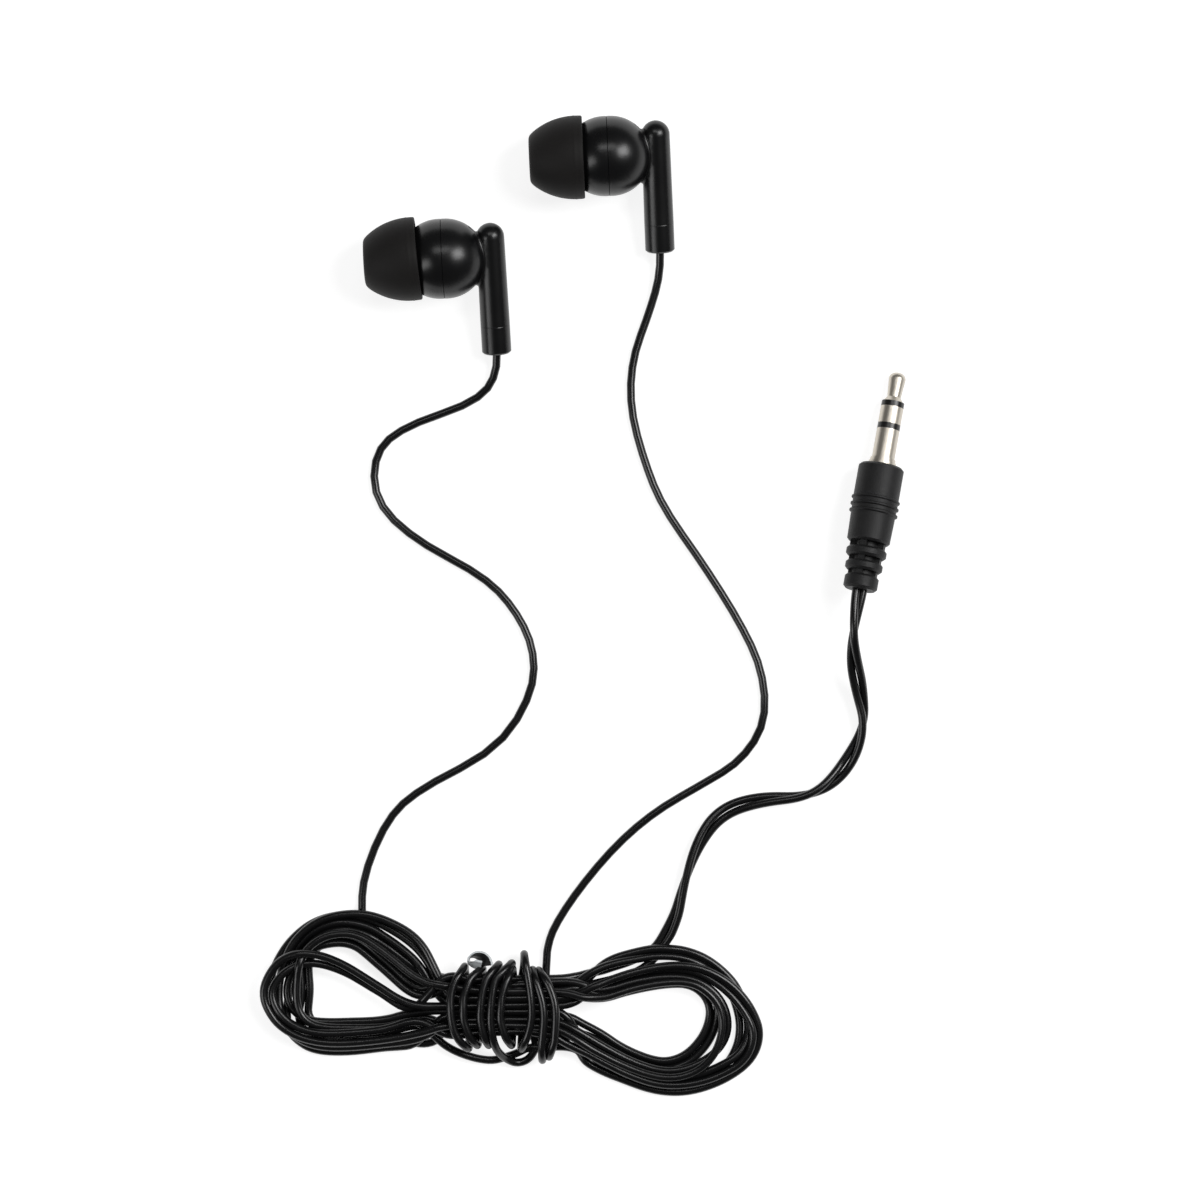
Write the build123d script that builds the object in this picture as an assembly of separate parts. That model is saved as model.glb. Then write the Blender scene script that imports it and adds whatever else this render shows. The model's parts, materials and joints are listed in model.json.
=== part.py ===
from build123d import *
import math
import os

# Wired in-ear earphones lying on a table, in millimetres, +Z up.
# The origin is the bottom centre of the box around the two earbuds.
# An earbud is drawn in its own frame: the ball's centre at the origin, the nozzle
# along -X, the stem along -Y.  It is then rolled about X until the stem's end lies
# on the table, turned about Z and moved to its place.

# ---- ball housing ----
ball_radius = 6.1
ball_middle = 0.9            # straight band between the two half balls
shell_wall = 0.8
seam_chamfer = 0.1
spigot_depth = 0.8           # rear shell's lip inside the front shell
spigot_wall = 0.4
glue_gap = 0.04              # radial gap of a glued or clipped joint

# ---- nozzle and its screen ----
nozzle_radius = 2.15
nozzle_length = 4.55         # from where it leaves the ball to its end
nozzle_bore = 1.45
lip_step = 0.25              # lip's radius over the nozzle's
lip_length = 0.8
screen_thickness = 0.15
screen_recess = 0.4
screen_hole_radius = 0.16

# ---- ear tip ----
tip_fit = 0.05               # radial running fit of the sleeve on the nozzle's lip
tip_sleeve_wall = 0.8
tip_hole_radius = 1.9
tip_nose_radius = 3.1
tip_front_gap = 0.35         # nozzle end to the inside of the nose
tip_nose_wall = 0.9
tip_skirt_radius = 6.35
tip_skirt_wall = 0.55
tip_length = 8.25

# ---- stem ----
stem_standoff = 0.85         # stem's axis behind the ball's back
stem_top_radius = 2.15
stem_end_radius = 2.25
stem_above = 3.0             # dome's centre above the ball's centre
stem_below = 15.07           # ball's centre to the end of the sleeve
stem_bore = 1.2
sleeve_length = 4.4
spigot_radius = 1.7
spigot_length = 2.5
junction_fillet = 0.35
vent_width = 0.22
vent_length = 1.3
vent_pitch = 0.55

# ---- cord ----
cord_diameter = 1.25
cord_hole_gap = 0.06
knot_radius = 1.1
knot_length = 2.0
fine_wire_radius = 0.22

# ---- driver ----
driver_clearance = 0.55      # driver's edge inside the shell's wall at the ball's middle
driver_front = -2.1          # front face, on the front shell's ledge
cover_thickness = 0.3
frame_length = 2.7
frame_wall = 0.45
frame_plate = 0.4
yoke_wall = 0.33
yoke_base = 0.5
yoke_front = -0.4
yoke_back = 2.4
pole_thickness = 0.6
magnet_inset = 0.15          # magnet's edge inside the pole plate's
coil_radius = 2.3
coil_wall = 0.12
coil_gap_inside = 0.15       # coil to pole plate
coil_gap_outside = 0.18      # coil to yoke
coil_length = 1.42
film_plane = -1.2
film_thickness = 0.08
film_inset = 0.2             # film's edge inside the driver's cup
dome_height = 0.3
dome_flat = 0.3              # flat spot in the middle of the dome
board_size = (0.4, 4.4, 2.2)
damper_thickness = 0.15
back_vent_inset = 1.05       # middle of the back vents inside the driver's edge

# ---- 3.5 mm stereo plug, along +X from its point ----
contact_radius = 1.75
tip_head_radius = 1.3
tip_head_length = 1.0
tip_point_flat = 0.25
tip_waist_radius = 1.05
tip_waist_place = 3.9
front_ring_start = 4.65
ring_start = 5.5
rear_ring_start = 8.15
sleeve_start = 9.05
shoulder_start = 13.65
plug_exposed = 14.8
shoulder_step = 0.35         # shoulder's radius over the contact's
rod_radius = 0.5
inner_tube_radius = 0.8
ring_tube_radius = 1.1
outer_tube_radius = 1.35
anchor_step = 0.4            # flange's radius over the shoulder's
anchor_length = 1.2
lug_step = 0.55
mould_radius = 2.7
mould_length = 8.0
grip_radius = 3.5
grip_end_radius = 3.3
grip_edge = 0.35
grip_body_length = 12.1
grip_length = 19.45
grip_rib_places = (5.35, 6.4, 7.45)
grip_rib_height = 0.23
grip_rib_width = 0.6
relief_core_radius = 1.7
relief_ribs = ((13.7, 3.1), (15.85, 2.87), (18.35, 2.62))   # middle, radius
relief_rib_width = 1.45
relief_end_width = 2.2
relief_spine_width = 1.0
relief_spine_drop = 0.4

# ---- places on the table ----
left_place = (-11.66, -3.6)
right_place = (13.5, 12.05)
left_turn = 3.0
right_turn = 2.5
plug_point = (58.12, -20.78)
plug_heading = 79.4          # degrees from +X to the way the plug points
slack = 0.02                 # lowest metal or plastic above the table

# ---- hank ----
hank_height = 3.8
binding_middle = (-2.4, -118.0)
binding_length = 16.4
binding_width = 14.4
binding_height = 6.0
tie_thickness = 0.35
tie_width = 2.2
tie_curl = 1.15

cord_radius = cord_diameter / 2
pair_diameter = 2 * cord_diameter    # outside of the two cords twisted together
binding_wall = cord_diameter
on_table = cord_radius + 0.01
pair_on_table = pair_diameter / 2 + 0.01

# Cord routes, point by point, in plan and height.  The first two points of each come
# from the sleeve or plug that the cord leaves.
left_route = [
    (-6.6, -25.2, on_table),
    (-17.8, -28.9, on_table),
    (-22.4, -32.9, on_table),
    (-22.4, -40.4, on_table),
    (-16.2, -46.4, on_table),
    (-5.6, -51.9, on_table),
    (-0.9, -56.8, on_table),
    (2.15, -62.8, on_table),
    (2.15, -69.6, on_table),
    (-3.2, -78.5, on_table),
    (-15.6, -84.7, on_table),
    (-20.5, -89.3, on_table),
    (-24.2, -98.3, on_table),
    (-24.3, -104.3, on_table),
]
right_route = [
    (19.9, -11.4, on_table),
    (17.2, -18.6, on_table),
    (16.9, -26.2, on_table),
    (19.2, -34.6, on_table),
    (21.9, -41.3, on_table),
    (28.1, -50.0, on_table),
    (33.8, -59.0, on_table),
    (37.3, -66.3, on_table),
    (37.9, -74.4, on_table),
    (34.0, -80.4, on_table),
    (28.1, -83.9, on_table),
    (20.9, -88.0, on_table),
    (14.8, -93.2, on_table),
    (8.9, -100.2, on_table),
    (5.0, -106.2, 1.2),
    (2.8, -112.6, 3.6),
]
lead_route = [
    (51.0, -64.7, 5.2),
    (52.1, -69.4, 2.6),
    (53.1, -75.1, pair_on_table),
    (49.8, -82.0, pair_on_table),
    (44.8, -85.9, pair_on_table),
    (36.5, -86.2, pair_on_table),
    (30.6, -88.3, pair_on_table),
    (27.2, -93.2, pair_on_table),
    (25.0, -99.8, pair_on_table),
    (23.9, -105.0, pair_on_table),
    (21.4, -109.3, pair_on_table),
]
cord_exit_run = 3.4
lead_exit_run = 5.6

# Sizes that follow from the ones above.
half_middle = ball_middle / 2
inner_radius = ball_radius - shell_wall
stem_offset = ball_radius + half_middle + stem_standoff
lip_radius = nozzle_radius + lip_step
nozzle_root = -half_middle - math.sqrt(ball_radius**2 - nozzle_radius**2)
nozzle_end = nozzle_root - nozzle_length
tip_bore = lip_radius + tip_fit
tip_nose = nozzle_end - tip_front_gap - tip_nose_wall
tip_rim = tip_nose + tip_length
driver_radius = inner_radius - driver_clearance
driver_back = driver_front + cover_thickness + frame_length
film_radius = driver_radius - frame_wall - film_inset
pole_radius = coil_radius - coil_gap_inside
magnet_radius = pole_radius - magnet_inset
yoke_radius = coil_radius + coil_wall + coil_gap_outside + yoke_wall
shoulder_radius = contact_radius + shoulder_step
anchor_radius = shoulder_radius + anchor_step
shoulder_y = -stem_below + sleeve_length
sleeve_floor = shoulder_y - spigot_length - glue_gap

# The ball stands on the table at the ear tip's skirt, or at its own round where that is
# larger, and the stem dips to touch the table.
axis_height = max(tip_skirt_radius, ball_radius) + slack
stem_reach = math.hypot(stem_below, stem_end_radius)
stem_dip = math.degrees(
    math.asin((axis_height - slack) / stem_reach) - math.atan2(stem_end_radius, stem_below)
)


def turned(outline, axis=Axis.X):
    """Solid of revolution from a closed outline of (place, radius) points."""
    return revolve(make_face(Polyline(*outline, close=True)), axis)


def ring_x(start, end, outer, inner=0.0):
    """Plain disc or ring along X."""
    return turned([(start, inner), (start, outer), (end, outer), (end, inner)])


def rod_y(x, start, end, radius):
    """Round rod along Y at a given X."""
    return turned(
        [(x, start), (x + radius, start), (x + radius, end), (x, end)],
        Axis((x, 0, 0), (0, 1, 0)),
    )


def around_x(shape, count, first=0.0):
    """Copies of a shape turned evenly about X."""
    return [Rot(X=first + 360 * i / count) * shape for i in range(count)]


def half_ball(side, radius):
    """Half ball with its share of the straight band; side is -1 in front, 1 behind."""
    middle = side * half_middle
    edge = radius * math.sqrt(0.5)
    outline = Polyline((middle, 0), (0, 0), (0, radius), (middle, radius))
    curve = ThreePointArc(
        (middle, radius), (middle + side * edge, edge), (middle + side * radius, 0)
    )
    closing = Line((middle + side * radius, 0), (middle, 0))
    return revolve(make_face(outline + curve + closing), Axis.X)


def seam_cut(side):
    """V cut on the outer corner of one shell's seam edge."""
    top = ball_radius + seam_chamfer
    return turned([(-seam_chamfer, top), (seam_chamfer, top), (0, ball_radius - seam_chamfer)])


def ear_tip():
    """Soft tip: an inner sleeve on the nozzle and an outer skirt folded back over it."""
    sleeve_outer = tip_bore + tip_sleeve_wall
    sleeve_back = nozzle_root - 0.3
    rim_inner = tip_skirt_radius - tip_skirt_wall
    corner = (tip_nose + 0.35, tip_nose_radius + 0.6)
    reach = tip_rim - tip_nose
    inner_root = (tip_nose + 1.45, sleeve_outer)
    edges = [
        Line((tip_nose, tip_hole_radius), (tip_nose, tip_nose_radius)),
        ThreePointArc((tip_nose, tip_nose_radius), (tip_nose + 0.09, tip_nose_radius + 0.35), corner),
        ThreePointArc(corner, (tip_nose + 0.42 * reach, 0.875 * tip_skirt_radius),
                      (tip_nose + 0.88 * reach, tip_skirt_radius)),
        Line((tip_nose + 0.88 * reach, tip_skirt_radius), (tip_rim, tip_skirt_radius)),
        Line((tip_rim, tip_skirt_radius), (tip_rim, rim_inner)),
        ThreePointArc((tip_rim, rim_inner), (tip_nose + 0.5 * reach, 0.905 * rim_inner), inner_root),
        Line(inner_root, (sleeve_back, sleeve_outer)),
        Line((sleeve_back, sleeve_outer), (sleeve_back, tip_bore)),
        Line((sleeve_back, tip_bore), (nozzle_end - tip_front_gap, tip_bore)),
        Line((nozzle_end - tip_front_gap, tip_bore), (nozzle_end - tip_front_gap, tip_hole_radius)),
        Line((nozzle_end - tip_front_gap, tip_hole_radius), (tip_nose, tip_hole_radius)),
    ]
    return revolve(make_face(Wire(edges)), Axis.X)


def front_shell():
    """Front half ball with the nozzle, its lip, the screen's recess and the driver's ledge."""
    lip_start = nozzle_end + lip_length
    nozzle = turned([
        (-half_middle - inner_radius, 0),
        (-half_middle - inner_radius, nozzle_radius),
        (lip_start, nozzle_radius),
        (lip_start, lip_radius),
        (nozzle_end + 0.3, lip_radius),
        (nozzle_end, nozzle_radius),
        (nozzle_end, 0),
    ])
    body = half_ball(-1, ball_radius) + nozzle
    body -= half_ball(-1, inner_radius)
    ledge = ring_x(driver_front - 0.5, driver_front, inner_radius + 0.2, driver_radius - 0.55)
    body += ledge & half_ball(-1, ball_radius - shell_wall / 2)
    body -= ring_x(nozzle_end, -half_middle, nozzle_bore)
    body -= ring_x(nozzle_end, nozzle_end + screen_recess, nozzle_bore + 0.3)
    return body - seam_cut(-1)


def nozzle_screen():
    """Perforated disc at the bottom of the nozzle's recess."""
    back = nozzle_end + screen_recess
    disc = ring_x(back - screen_thickness, back, nozzle_bore + 0.3 - glue_gap)
    hole = ring_x(back - 1, back + 1, screen_hole_radius)
    holes = [hole]
    for count, radius in ((6, 0.5), (12, 1.0)):
        holes += around_x(Pos(0, radius, 0) * hole, count)
    return disc - holes


def rear_shell():
    """Rear half ball and the stem in one moulding, with the stem's bore and three vents."""
    stem_axis = Axis((stem_offset, 0, 0), (0, 1, 0))
    edge = stem_top_radius * math.sqrt(0.5)
    outline = Polyline(
        (stem_offset, stem_above),
        (stem_offset, shoulder_y),
        (stem_offset + stem_end_radius, shoulder_y),
        (stem_offset + stem_top_radius, stem_above),
    )
    dome = ThreePointArc(
        (stem_offset + stem_top_radius, stem_above),
        (stem_offset + edge, stem_above + edge),
        (stem_offset, stem_above + stem_top_radius),
    )
    closing = Line((stem_offset, stem_above + stem_top_radius), (stem_offset, stem_above))
    stem = revolve(make_face(outline + dome + closing), stem_axis)
    ball = half_ball(1, ball_radius)
    body = ball + stem
    inside = ball_radius + half_middle
    junction = [
        e for e in body.edges()
        if e.geom_type not in (GeomType.LINE, GeomType.CIRCLE)
        and stem_offset - stem_end_radius - 0.5 < e.center().X < inside
        and abs(e.center().Z) < ball_radius
    ]
    body = fillet(junction, junction_fillet)
    body -= half_ball(1, inner_radius)
    lip_outer = inner_radius - glue_gap
    body += ring_x(-spigot_depth, half_middle, lip_outer, lip_outer - spigot_wall)
    body += ring_x(0, half_middle, inner_radius + 0.1, lip_outer - spigot_wall)
    body += rod_y(stem_offset, shoulder_y - spigot_length, shoulder_y, spigot_radius)
    body -= rod_y(stem_offset, shoulder_y - spigot_length, 0.5, stem_bore)
    body -= Pos(0, -1.6, 0) * ring_x(half_middle + 3, stem_offset, 0.8)
    for i in (-1, 0, 1):
        slot = Box(2.4, vent_length, vent_width)
        placed = Rot(X=i * 57.3 * vent_pitch / ball_radius) * Pos(half_middle, 0, 0)
        body -= placed * Rot(Z=46) * Pos(ball_radius - 0.4, 0, 0) * slot
    return body - seam_cut(1)


def stem_sleeve():
    """Flush sleeve that closes the stem's end and guides the cord out."""
    x = stem_offset
    upper = stem_end_radius
    sleeve = turned([
        (x, shoulder_y), (x + upper, shoulder_y),
        (x + stem_end_radius, -stem_below + 0.25),
        (x + stem_end_radius - 0.25, -stem_below), (x, -stem_below),
    ], Axis((x, 0, 0), (0, 1, 0)))
    sleeve -= rod_y(x, sleeve_floor, shoulder_y, spigot_radius + glue_gap)
    return sleeve - rod_y(x, -stem_below, sleeve_floor, cord_radius + cord_hole_gap)


def cord_knot():
    """Knot that stops the cord pulling out, with the short length down to the exit."""
    knot = rod_y(stem_offset, sleeve_floor, sleeve_floor + knot_length, knot_radius)
    knot = fillet(knot.edges().filter_by(GeomType.CIRCLE), 0.45)
    return knot + rod_y(stem_offset, -stem_below, sleeve_floor + 0.5, cord_radius)


def inner_lead():
    """Pair of fine wires from the knot up the stem to the driver's terminal board."""
    board_back = yoke_back + board_size[0]
    top = sleeve_floor + knot_length
    wires = []
    for side in (-1, 1):
        z = side * 0.4
        path = FilletPolyline(
            (board_back, -1.6, z), (stem_offset - 0.6, -1.6, z), (stem_offset, top, z), radius=1.2
        )
        start = Plane(origin=path @ 0, z_dir=path % 0)
        wires.append(sweep(start * Circle(fine_wire_radius), path=path))
    return Compound(children=wires)


def driver_cover():
    """Perforated front cover of the driver."""
    disc = ring_x(driver_front, driver_front + cover_thickness, driver_radius)
    hole = ring_x(driver_front - 1, driver_front + 1, 0.45)
    return disc - [hole] - around_x(Pos(0, 2.2, 0) * hole, 6)


def driver_frame():
    """Driver's cup: outer ring and a vented back plate with a hole for the yoke."""
    start = driver_front + cover_thickness
    cup = ring_x(start, driver_back, driver_radius, driver_radius - frame_wall)
    cup += ring_x(driver_back - frame_plate, driver_back, driver_radius, yoke_radius + 0.02)
    vent = ring_x(driver_back - 1, driver_back + 1, 0.35)
    return cup - around_x(Pos(0, driver_radius - back_vent_inset, 0) * vent, 6, first=30)


def damper():
    """Paper ring over the back plate's vents."""
    return ring_x(driver_back, driver_back + damper_thickness, driver_radius - 0.45, yoke_radius + 0.25)


def diaphragm():
    """Thin film: a centre dome, a flat ring for the coil and a rolled surround."""
    a, b = coil_radius - 0.05, coil_radius + coil_wall + 0.1
    x, t, h = film_plane, film_thickness, dome_height
    mid = (b + film_radius) / 2
    front = [
        Line((x - h, 0), (x - h, dome_flat)),
        ThreePointArc((x - h, dome_flat), (x - 0.72 * h, a / 2), (x, a)),
        Line((x, a), (x, b)),
        ThreePointArc((x, b), (x - h, mid), (x, film_radius)),
    ]
    back = [
        Line((x, film_radius), (x + t, film_radius)),
        ThreePointArc((x + t, film_radius), (x + t - h, mid), (x + t, b)),
        Line((x + t, b), (x + t, a)),
        ThreePointArc((x + t, a), (x + t - 0.72 * h, a / 2), (x + t - h, dome_flat)),
        Line((x + t - h, dome_flat), (x + t - h, 0)),
        Line((x + t - h, 0), (x - h, 0)),
    ]
    return revolve(make_face(Wire(front + back)), Axis.X)


def voice_coil():
    """Coil of fine wire on the back of the diaphragm, standing in the magnet's gap."""
    start = film_plane + film_thickness
    return ring_x(start, start + coil_length, coil_radius + coil_wall, coil_radius)


def yoke():
    """Steel cup around the magnet."""
    cup = ring_x(yoke_front, yoke_back, yoke_radius)
    return cup - ring_x(yoke_front, yoke_back - yoke_base, yoke_radius - yoke_wall)


def magnet():
    """Disc magnet on the yoke's base."""
    return ring_x(yoke_front + pole_thickness, yoke_back - yoke_base, magnet_radius)


def pole_plate():
    """Steel disc on the magnet, inside the coil."""
    return ring_x(yoke_front, yoke_front + pole_thickness, pole_radius)


def terminal_board():
    """Small board on the back of the yoke where the wires are soldered."""
    board = Pos(yoke_back + board_size[0] / 2, 0, 0) * Box(*board_size)
    dot = ring_x(yoke_back + board_size[0], yoke_back + board_size[0] + 0.2, 0.4)
    return board + [Pos(0, y, 0) * dot for y in (-0.6, 1.2)]


def plug_tip():
    """Point of the plug: domed head, waist and flare, with the rod that runs to the back."""
    end = plug_exposed + anchor_length + 3 * lug_step
    outline = [
        Line((0, 0), (end, 0)),
        Line((end, 0), (end, rod_radius)),
        Line((end, rod_radius), (front_ring_start, rod_radius)),
        Line((front_ring_start, rod_radius), (front_ring_start, contact_radius - 0.15)),
        Line((front_ring_start, contact_radius - 0.15), (tip_waist_place, tip_waist_radius)),
        Line((tip_waist_place, tip_waist_radius), (tip_head_length, tip_head_radius)),
        ThreePointArc((tip_head_length, tip_head_radius),
                      (0.35 * tip_head_length, 0.8 * tip_head_radius), (0, tip_point_flat)),
        Line((0, tip_point_flat), (0, 0)),
    ]
    return revolve(make_face(Wire(outline)), Axis.X)


def plug_tube(start, head_end, head_radius, bore, tube_radius, tail):
    """Head ring with a thinner tube running back to its solder lug."""
    head = ring_x(start, head_end, head_radius, bore)
    return head + ring_x(start, tail, tube_radius, bore)


def front_insulator():
    """Front insulating ring and the tube that parts the rod from the ring contact."""
    tail = plug_exposed + anchor_length + 2 * lug_step
    return plug_tube(front_ring_start, ring_start, contact_radius, rod_radius,
                     inner_tube_radius, tail)


def plug_ring():
    """Ring contact with its tube."""
    tail = plug_exposed + anchor_length + lug_step
    return plug_tube(ring_start, rear_ring_start, contact_radius, inner_tube_radius,
                     ring_tube_radius, tail)


def rear_insulator():
    """Rear insulating ring with its tube."""
    tail = plug_exposed + anchor_length
    return plug_tube(rear_ring_start, sleeve_start, contact_radius, ring_tube_radius,
                     outer_tube_radius, tail)


def plug_sleeve():
    """Sleeve contact with the stepped shoulder and the flange that the moulding grips."""
    anchor_end = plug_exposed + anchor_length
    body = ring_x(sleeve_start, plug_exposed, contact_radius, outer_tube_radius)
    body += ring_x(shoulder_start, shoulder_start + 0.5, shoulder_radius - 0.15, outer_tube_radius)
    body += ring_x(shoulder_start + 0.5, plug_exposed, shoulder_radius, outer_tube_radius)
    return body + ring_x(plug_exposed, anchor_end, anchor_radius, outer_tube_radius)


def lead_tails():
    """Three short bared wires from the cord to the plug's lugs, inside the inner moulding."""
    back = plug_exposed + anchor_length + mould_length - 1
    ends = (
        (plug_exposed + anchor_length + 3 * lug_step, 0.0),
        (plug_exposed + anchor_length + lug_step, ring_tube_radius + fine_wire_radius),
        (plug_exposed + anchor_length, -(outer_tube_radius + fine_wire_radius + 0.15)),
    )
    return Compound(children=[
        Pos(0, place, 0) * ring_x(start, back, fine_wire_radius) for start, place in ends
    ])


def plug_metal():
    """Everything that the two mouldings are moulded around."""
    return [plug_tip(), front_insulator(), plug_ring(), rear_insulator(), plug_sleeve(), lead_tails()]


def inner_mould():
    """Hard inner moulding over the solder joints."""
    start = plug_exposed + anchor_length
    body = ring_x(start, start + mould_length, mould_radius)
    body = chamfer(body.edges().group_by(Axis.X)[-1], 0.5)
    for piece in plug_metal():
        body -= piece
    return body


def plug_grip():
    """Soft outer moulding: ribbed grip, then a slotted strain relief with three ribs."""
    f = plug_exposed
    body = turned([
        (f, 0), (f, grip_radius - grip_edge), (f + grip_edge, grip_radius),
        (f + grip_rib_places[0], grip_radius), (f + grip_body_length - 0.3, grip_end_radius),
        (f + grip_body_length, grip_end_radius - 0.3), (f + grip_body_length, 0),
    ])
    half_rib = grip_rib_width / 2
    for place in grip_rib_places:
        rib = f + place
        body += turned([
            (rib - half_rib, 0), (rib - half_rib, grip_radius - 0.1),
            (rib - half_rib / 3, grip_radius + grip_rib_height),
            (rib + half_rib / 3, grip_radius + grip_rib_height),
            (rib + half_rib, grip_radius - 0.1), (rib + half_rib, 0),
        ])
    body += ring_x(f + grip_body_length - 0.5, f + grip_length, relief_core_radius)
    last = relief_ribs[-1]
    for middle, radius in relief_ribs:
        width = relief_end_width if (middle, radius) == last else relief_rib_width
        rib = ring_x(f + middle - width / 2, f + middle + width / 2, radius)
        body += chamfer(rib.edges().filter_by(GeomType.CIRCLE), 0.35)
    start = grip_body_length - 0.5
    for (middle, radius) in relief_ribs:
        reach = radius - relief_spine_drop
        spine = Pos(f + (start + middle) / 2, 0, 0) * Box(middle - start, 2 * reach, relief_spine_width)
        body += Rot(X=20) * spine
        body += Rot(X=110) * spine
        start = middle
    body -= ring_x(f + anchor_length, f + anchor_length + mould_length, mould_radius)
    return body - ring_x(f, f + anchor_length, anchor_radius)


# ---- cords ----
def tube_along(points, diameter, name):
    """Round tube along straight runs joined by tangent arcs as large as the runs allow."""
    corners = [Vector(*p) for p in points]
    runs = [b - a for a, b in zip(corners, corners[1:])]
    radii = []
    for before, after in zip(runs, runs[1:]):
        half_turn = math.radians(before.get_angle(after)) / 2
        radii.append(0.45 * min(before.length, after.length) / math.tan(half_turn))
    path = FilletPolyline(*corners, radius=radii)
    section = Plane(origin=path @ 0, z_dir=path % 0) * Circle(diameter / 2)
    tube = sweep(section, path=path)
    expected = math.pi * diameter**2 / 4 * path.length
    print(name, "length", round(path.length, 1), "volume share", round(tube.volume / expected, 4))
    print("  radii", [round(r, 1) for r in radii])
    return tube


def waist_bar(inset=0.0):
    """Oval bar along X with the binding's outline, smaller by the inset all round."""
    standing = Plane(
        origin=(binding_middle[0] - binding_length / 2, binding_middle[1], binding_height / 2),
        x_dir=(0, 1, 0), z_dir=(1, 0, 0),
    )
    oval = Ellipse(binding_width / 2 - inset, binding_height / 2 - inset)
    return extrude(standing * oval, binding_length)


def binding_wraps():
    """Oval collar that stands for the cord's turns round the hank's waist."""
    return waist_bar() - waist_bar(binding_wall)


def cord_hank():
    """Two lobes of coiled cord as one slab with its openings, pinched inside the binding."""
    outer = Spline(
        (-11, -112.6), (-17.5, -105.8), (-24, -103.4), (-30.8, -104.2), (-36.4, -108.4),
        (-39.6, -114.7), (-37.2, -122.4), (-32, -125.4), (-24, -125.6), (-11, -123.4),
        (-2.4, -123.0), (6, -124.4), (14, -128.1), (22, -130.9), (29, -130.2), (35.2, -126.6),
        (36.6, -121.8), (33.6, -114.6), (28.4, -110.4), (21.4, -108.8), (12.3, -111.2),
        (5, -113.2), (-2.4, -113.0),
        periodic=True,
    )
    left_opening = Spline(
        (-32.2, -115.6), (-29, -119.6), (-20.9, -119.8), (-16.8, -118.3),
        (-24.8, -114.8), (-30.2, -112.3),
        periodic=True,
    )
    small_opening = Spline(
        (-30.4, -109.6), (-27, -108.7), (-23.6, -110.2), (-21.6, -112.6), (-25.6, -112.1),
        periodic=True,
    )
    right_opening = Spline(
        (9.6, -119.0), (16, -116.7), (22.8, -115.5), (26.8, -115.8),
        (28.6, -119.4), (24.3, -125.8), (20, -125.9), (13.4, -122.6),
        periodic=True,
    )
    plan = make_face(outer) - [make_face(o) for o in (left_opening, small_opening, right_opening)]
    slab = extrude(plan, hank_height)
    block = Pos(*binding_middle, 0) * Box(binding_length, 2 * binding_width, 4 * binding_height)
    return slab - block + (slab & waist_bar(binding_wall))


def twist_tie():
    """Coated strip curled over at the end that shows beside the binding."""
    outside = CenterArc((0, 0), tie_curl, -70, 250)
    inside = CenterArc((0, 0), tie_curl - tie_thickness, -70, 250)
    ends = [Line(outside @ 0, inside @ 0), Line(outside @ 1, inside @ 1)]
    return extrude(make_face(Wire([outside, inside, *ends])), tie_width)


def write(name, shape):
    """One STEP file for one sub-part."""
    solids = shape.solids()
    export_step(solids[0] if len(solids) == 1 else Compound(children=solids), f"parts/{name}.step")
    return shape


earbud_makers = {
    "ear_tip": ear_tip,
    "front_shell": front_shell,
    "nozzle_screen": nozzle_screen,
    "rear_shell": rear_shell,
    "stem_sleeve": stem_sleeve,
    "cord_knot": cord_knot,
    "inner_lead": inner_lead,
    "driver_cover": driver_cover,
    "driver_frame": driver_frame,
    "damper": damper,
    "diaphragm": diaphragm,
    "voice_coil": voice_coil,
    "yoke": yoke,
    "magnet": magnet,
    "pole_plate": pole_plate,
    "terminal_board": terminal_board,
}
earbud_pieces = {name: make() for name, make in earbud_makers.items()}


def earbud_spot(place, turn):
    """Where an earbud lies: rolled until its stem touches the table, turned and moved."""
    return Pos(place[0], place[1], axis_height) * Rot(Z=turn) * Rot(X=stem_dip)


def start_of_cord(spot):
    """First two points of a cord: the sleeve's end and a little way straight out of it."""
    ahead = [spot * Pos(stem_offset, -stem_below - run, 0) for run in (0, cord_exit_run)]
    return [tuple(point.position) for point in ahead]


routes = {}
for side, place, turn, route in (
    ("left", left_place, left_turn, left_route),
    ("right", right_place, right_turn, right_route),
):
    spot = earbud_spot(place, turn)
    boxes = []
    for name, piece in earbud_pieces.items():
        boxes.append(write(f"{side}_{name}", spot * piece).bounding_box())
    low = [min(tuple(b.min)[i] for b in boxes) for i in range(3)]
    high = [max(tuple(b.max)[i] for b in boxes) for i in range(3)]
    print(side, "earbud", [round(v, 3) for v in low], [round(v, 3) for v in high])
    routes[side] = start_of_cord(spot) + route
    print(side, "cord starts", [tuple(round(v, 3) for v in p) for p in routes[side][:2]])
    write(f"{side}_cord_run", tube_along(routes[side], cord_diameter, f"{side} cord"))

# The plug lies on its head and on the front edge of its grip.
edge_place = plug_exposed + grip_edge
plug_dip = math.degrees(math.asin((grip_radius - tip_head_radius) / (edge_place - tip_head_length)))
head_height = tip_head_radius / math.cos(math.radians(plug_dip)) + slack
point_height = head_height - tip_head_length * math.sin(math.radians(plug_dip))
plug_spot = Pos(*plug_point, point_height) * Rot(Z=plug_heading + 180) * Rot(Y=-plug_dip)
plug_makers = {
    "plug_tip": plug_tip,
    "plug_front_insulator": front_insulator,
    "plug_ring": plug_ring,
    "plug_rear_insulator": rear_insulator,
    "plug_sleeve": plug_sleeve,
    "plug_lead_tails": lead_tails,
    "plug_inner_mould": inner_mould,
    "plug_grip": plug_grip,
}
for name, make in plug_makers.items():
    placed = write(name, plug_spot * make())
    box = placed.bounding_box()
    print(name, [round(v, 2) for v in box.min], [round(v, 2) for v in box.max])
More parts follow.
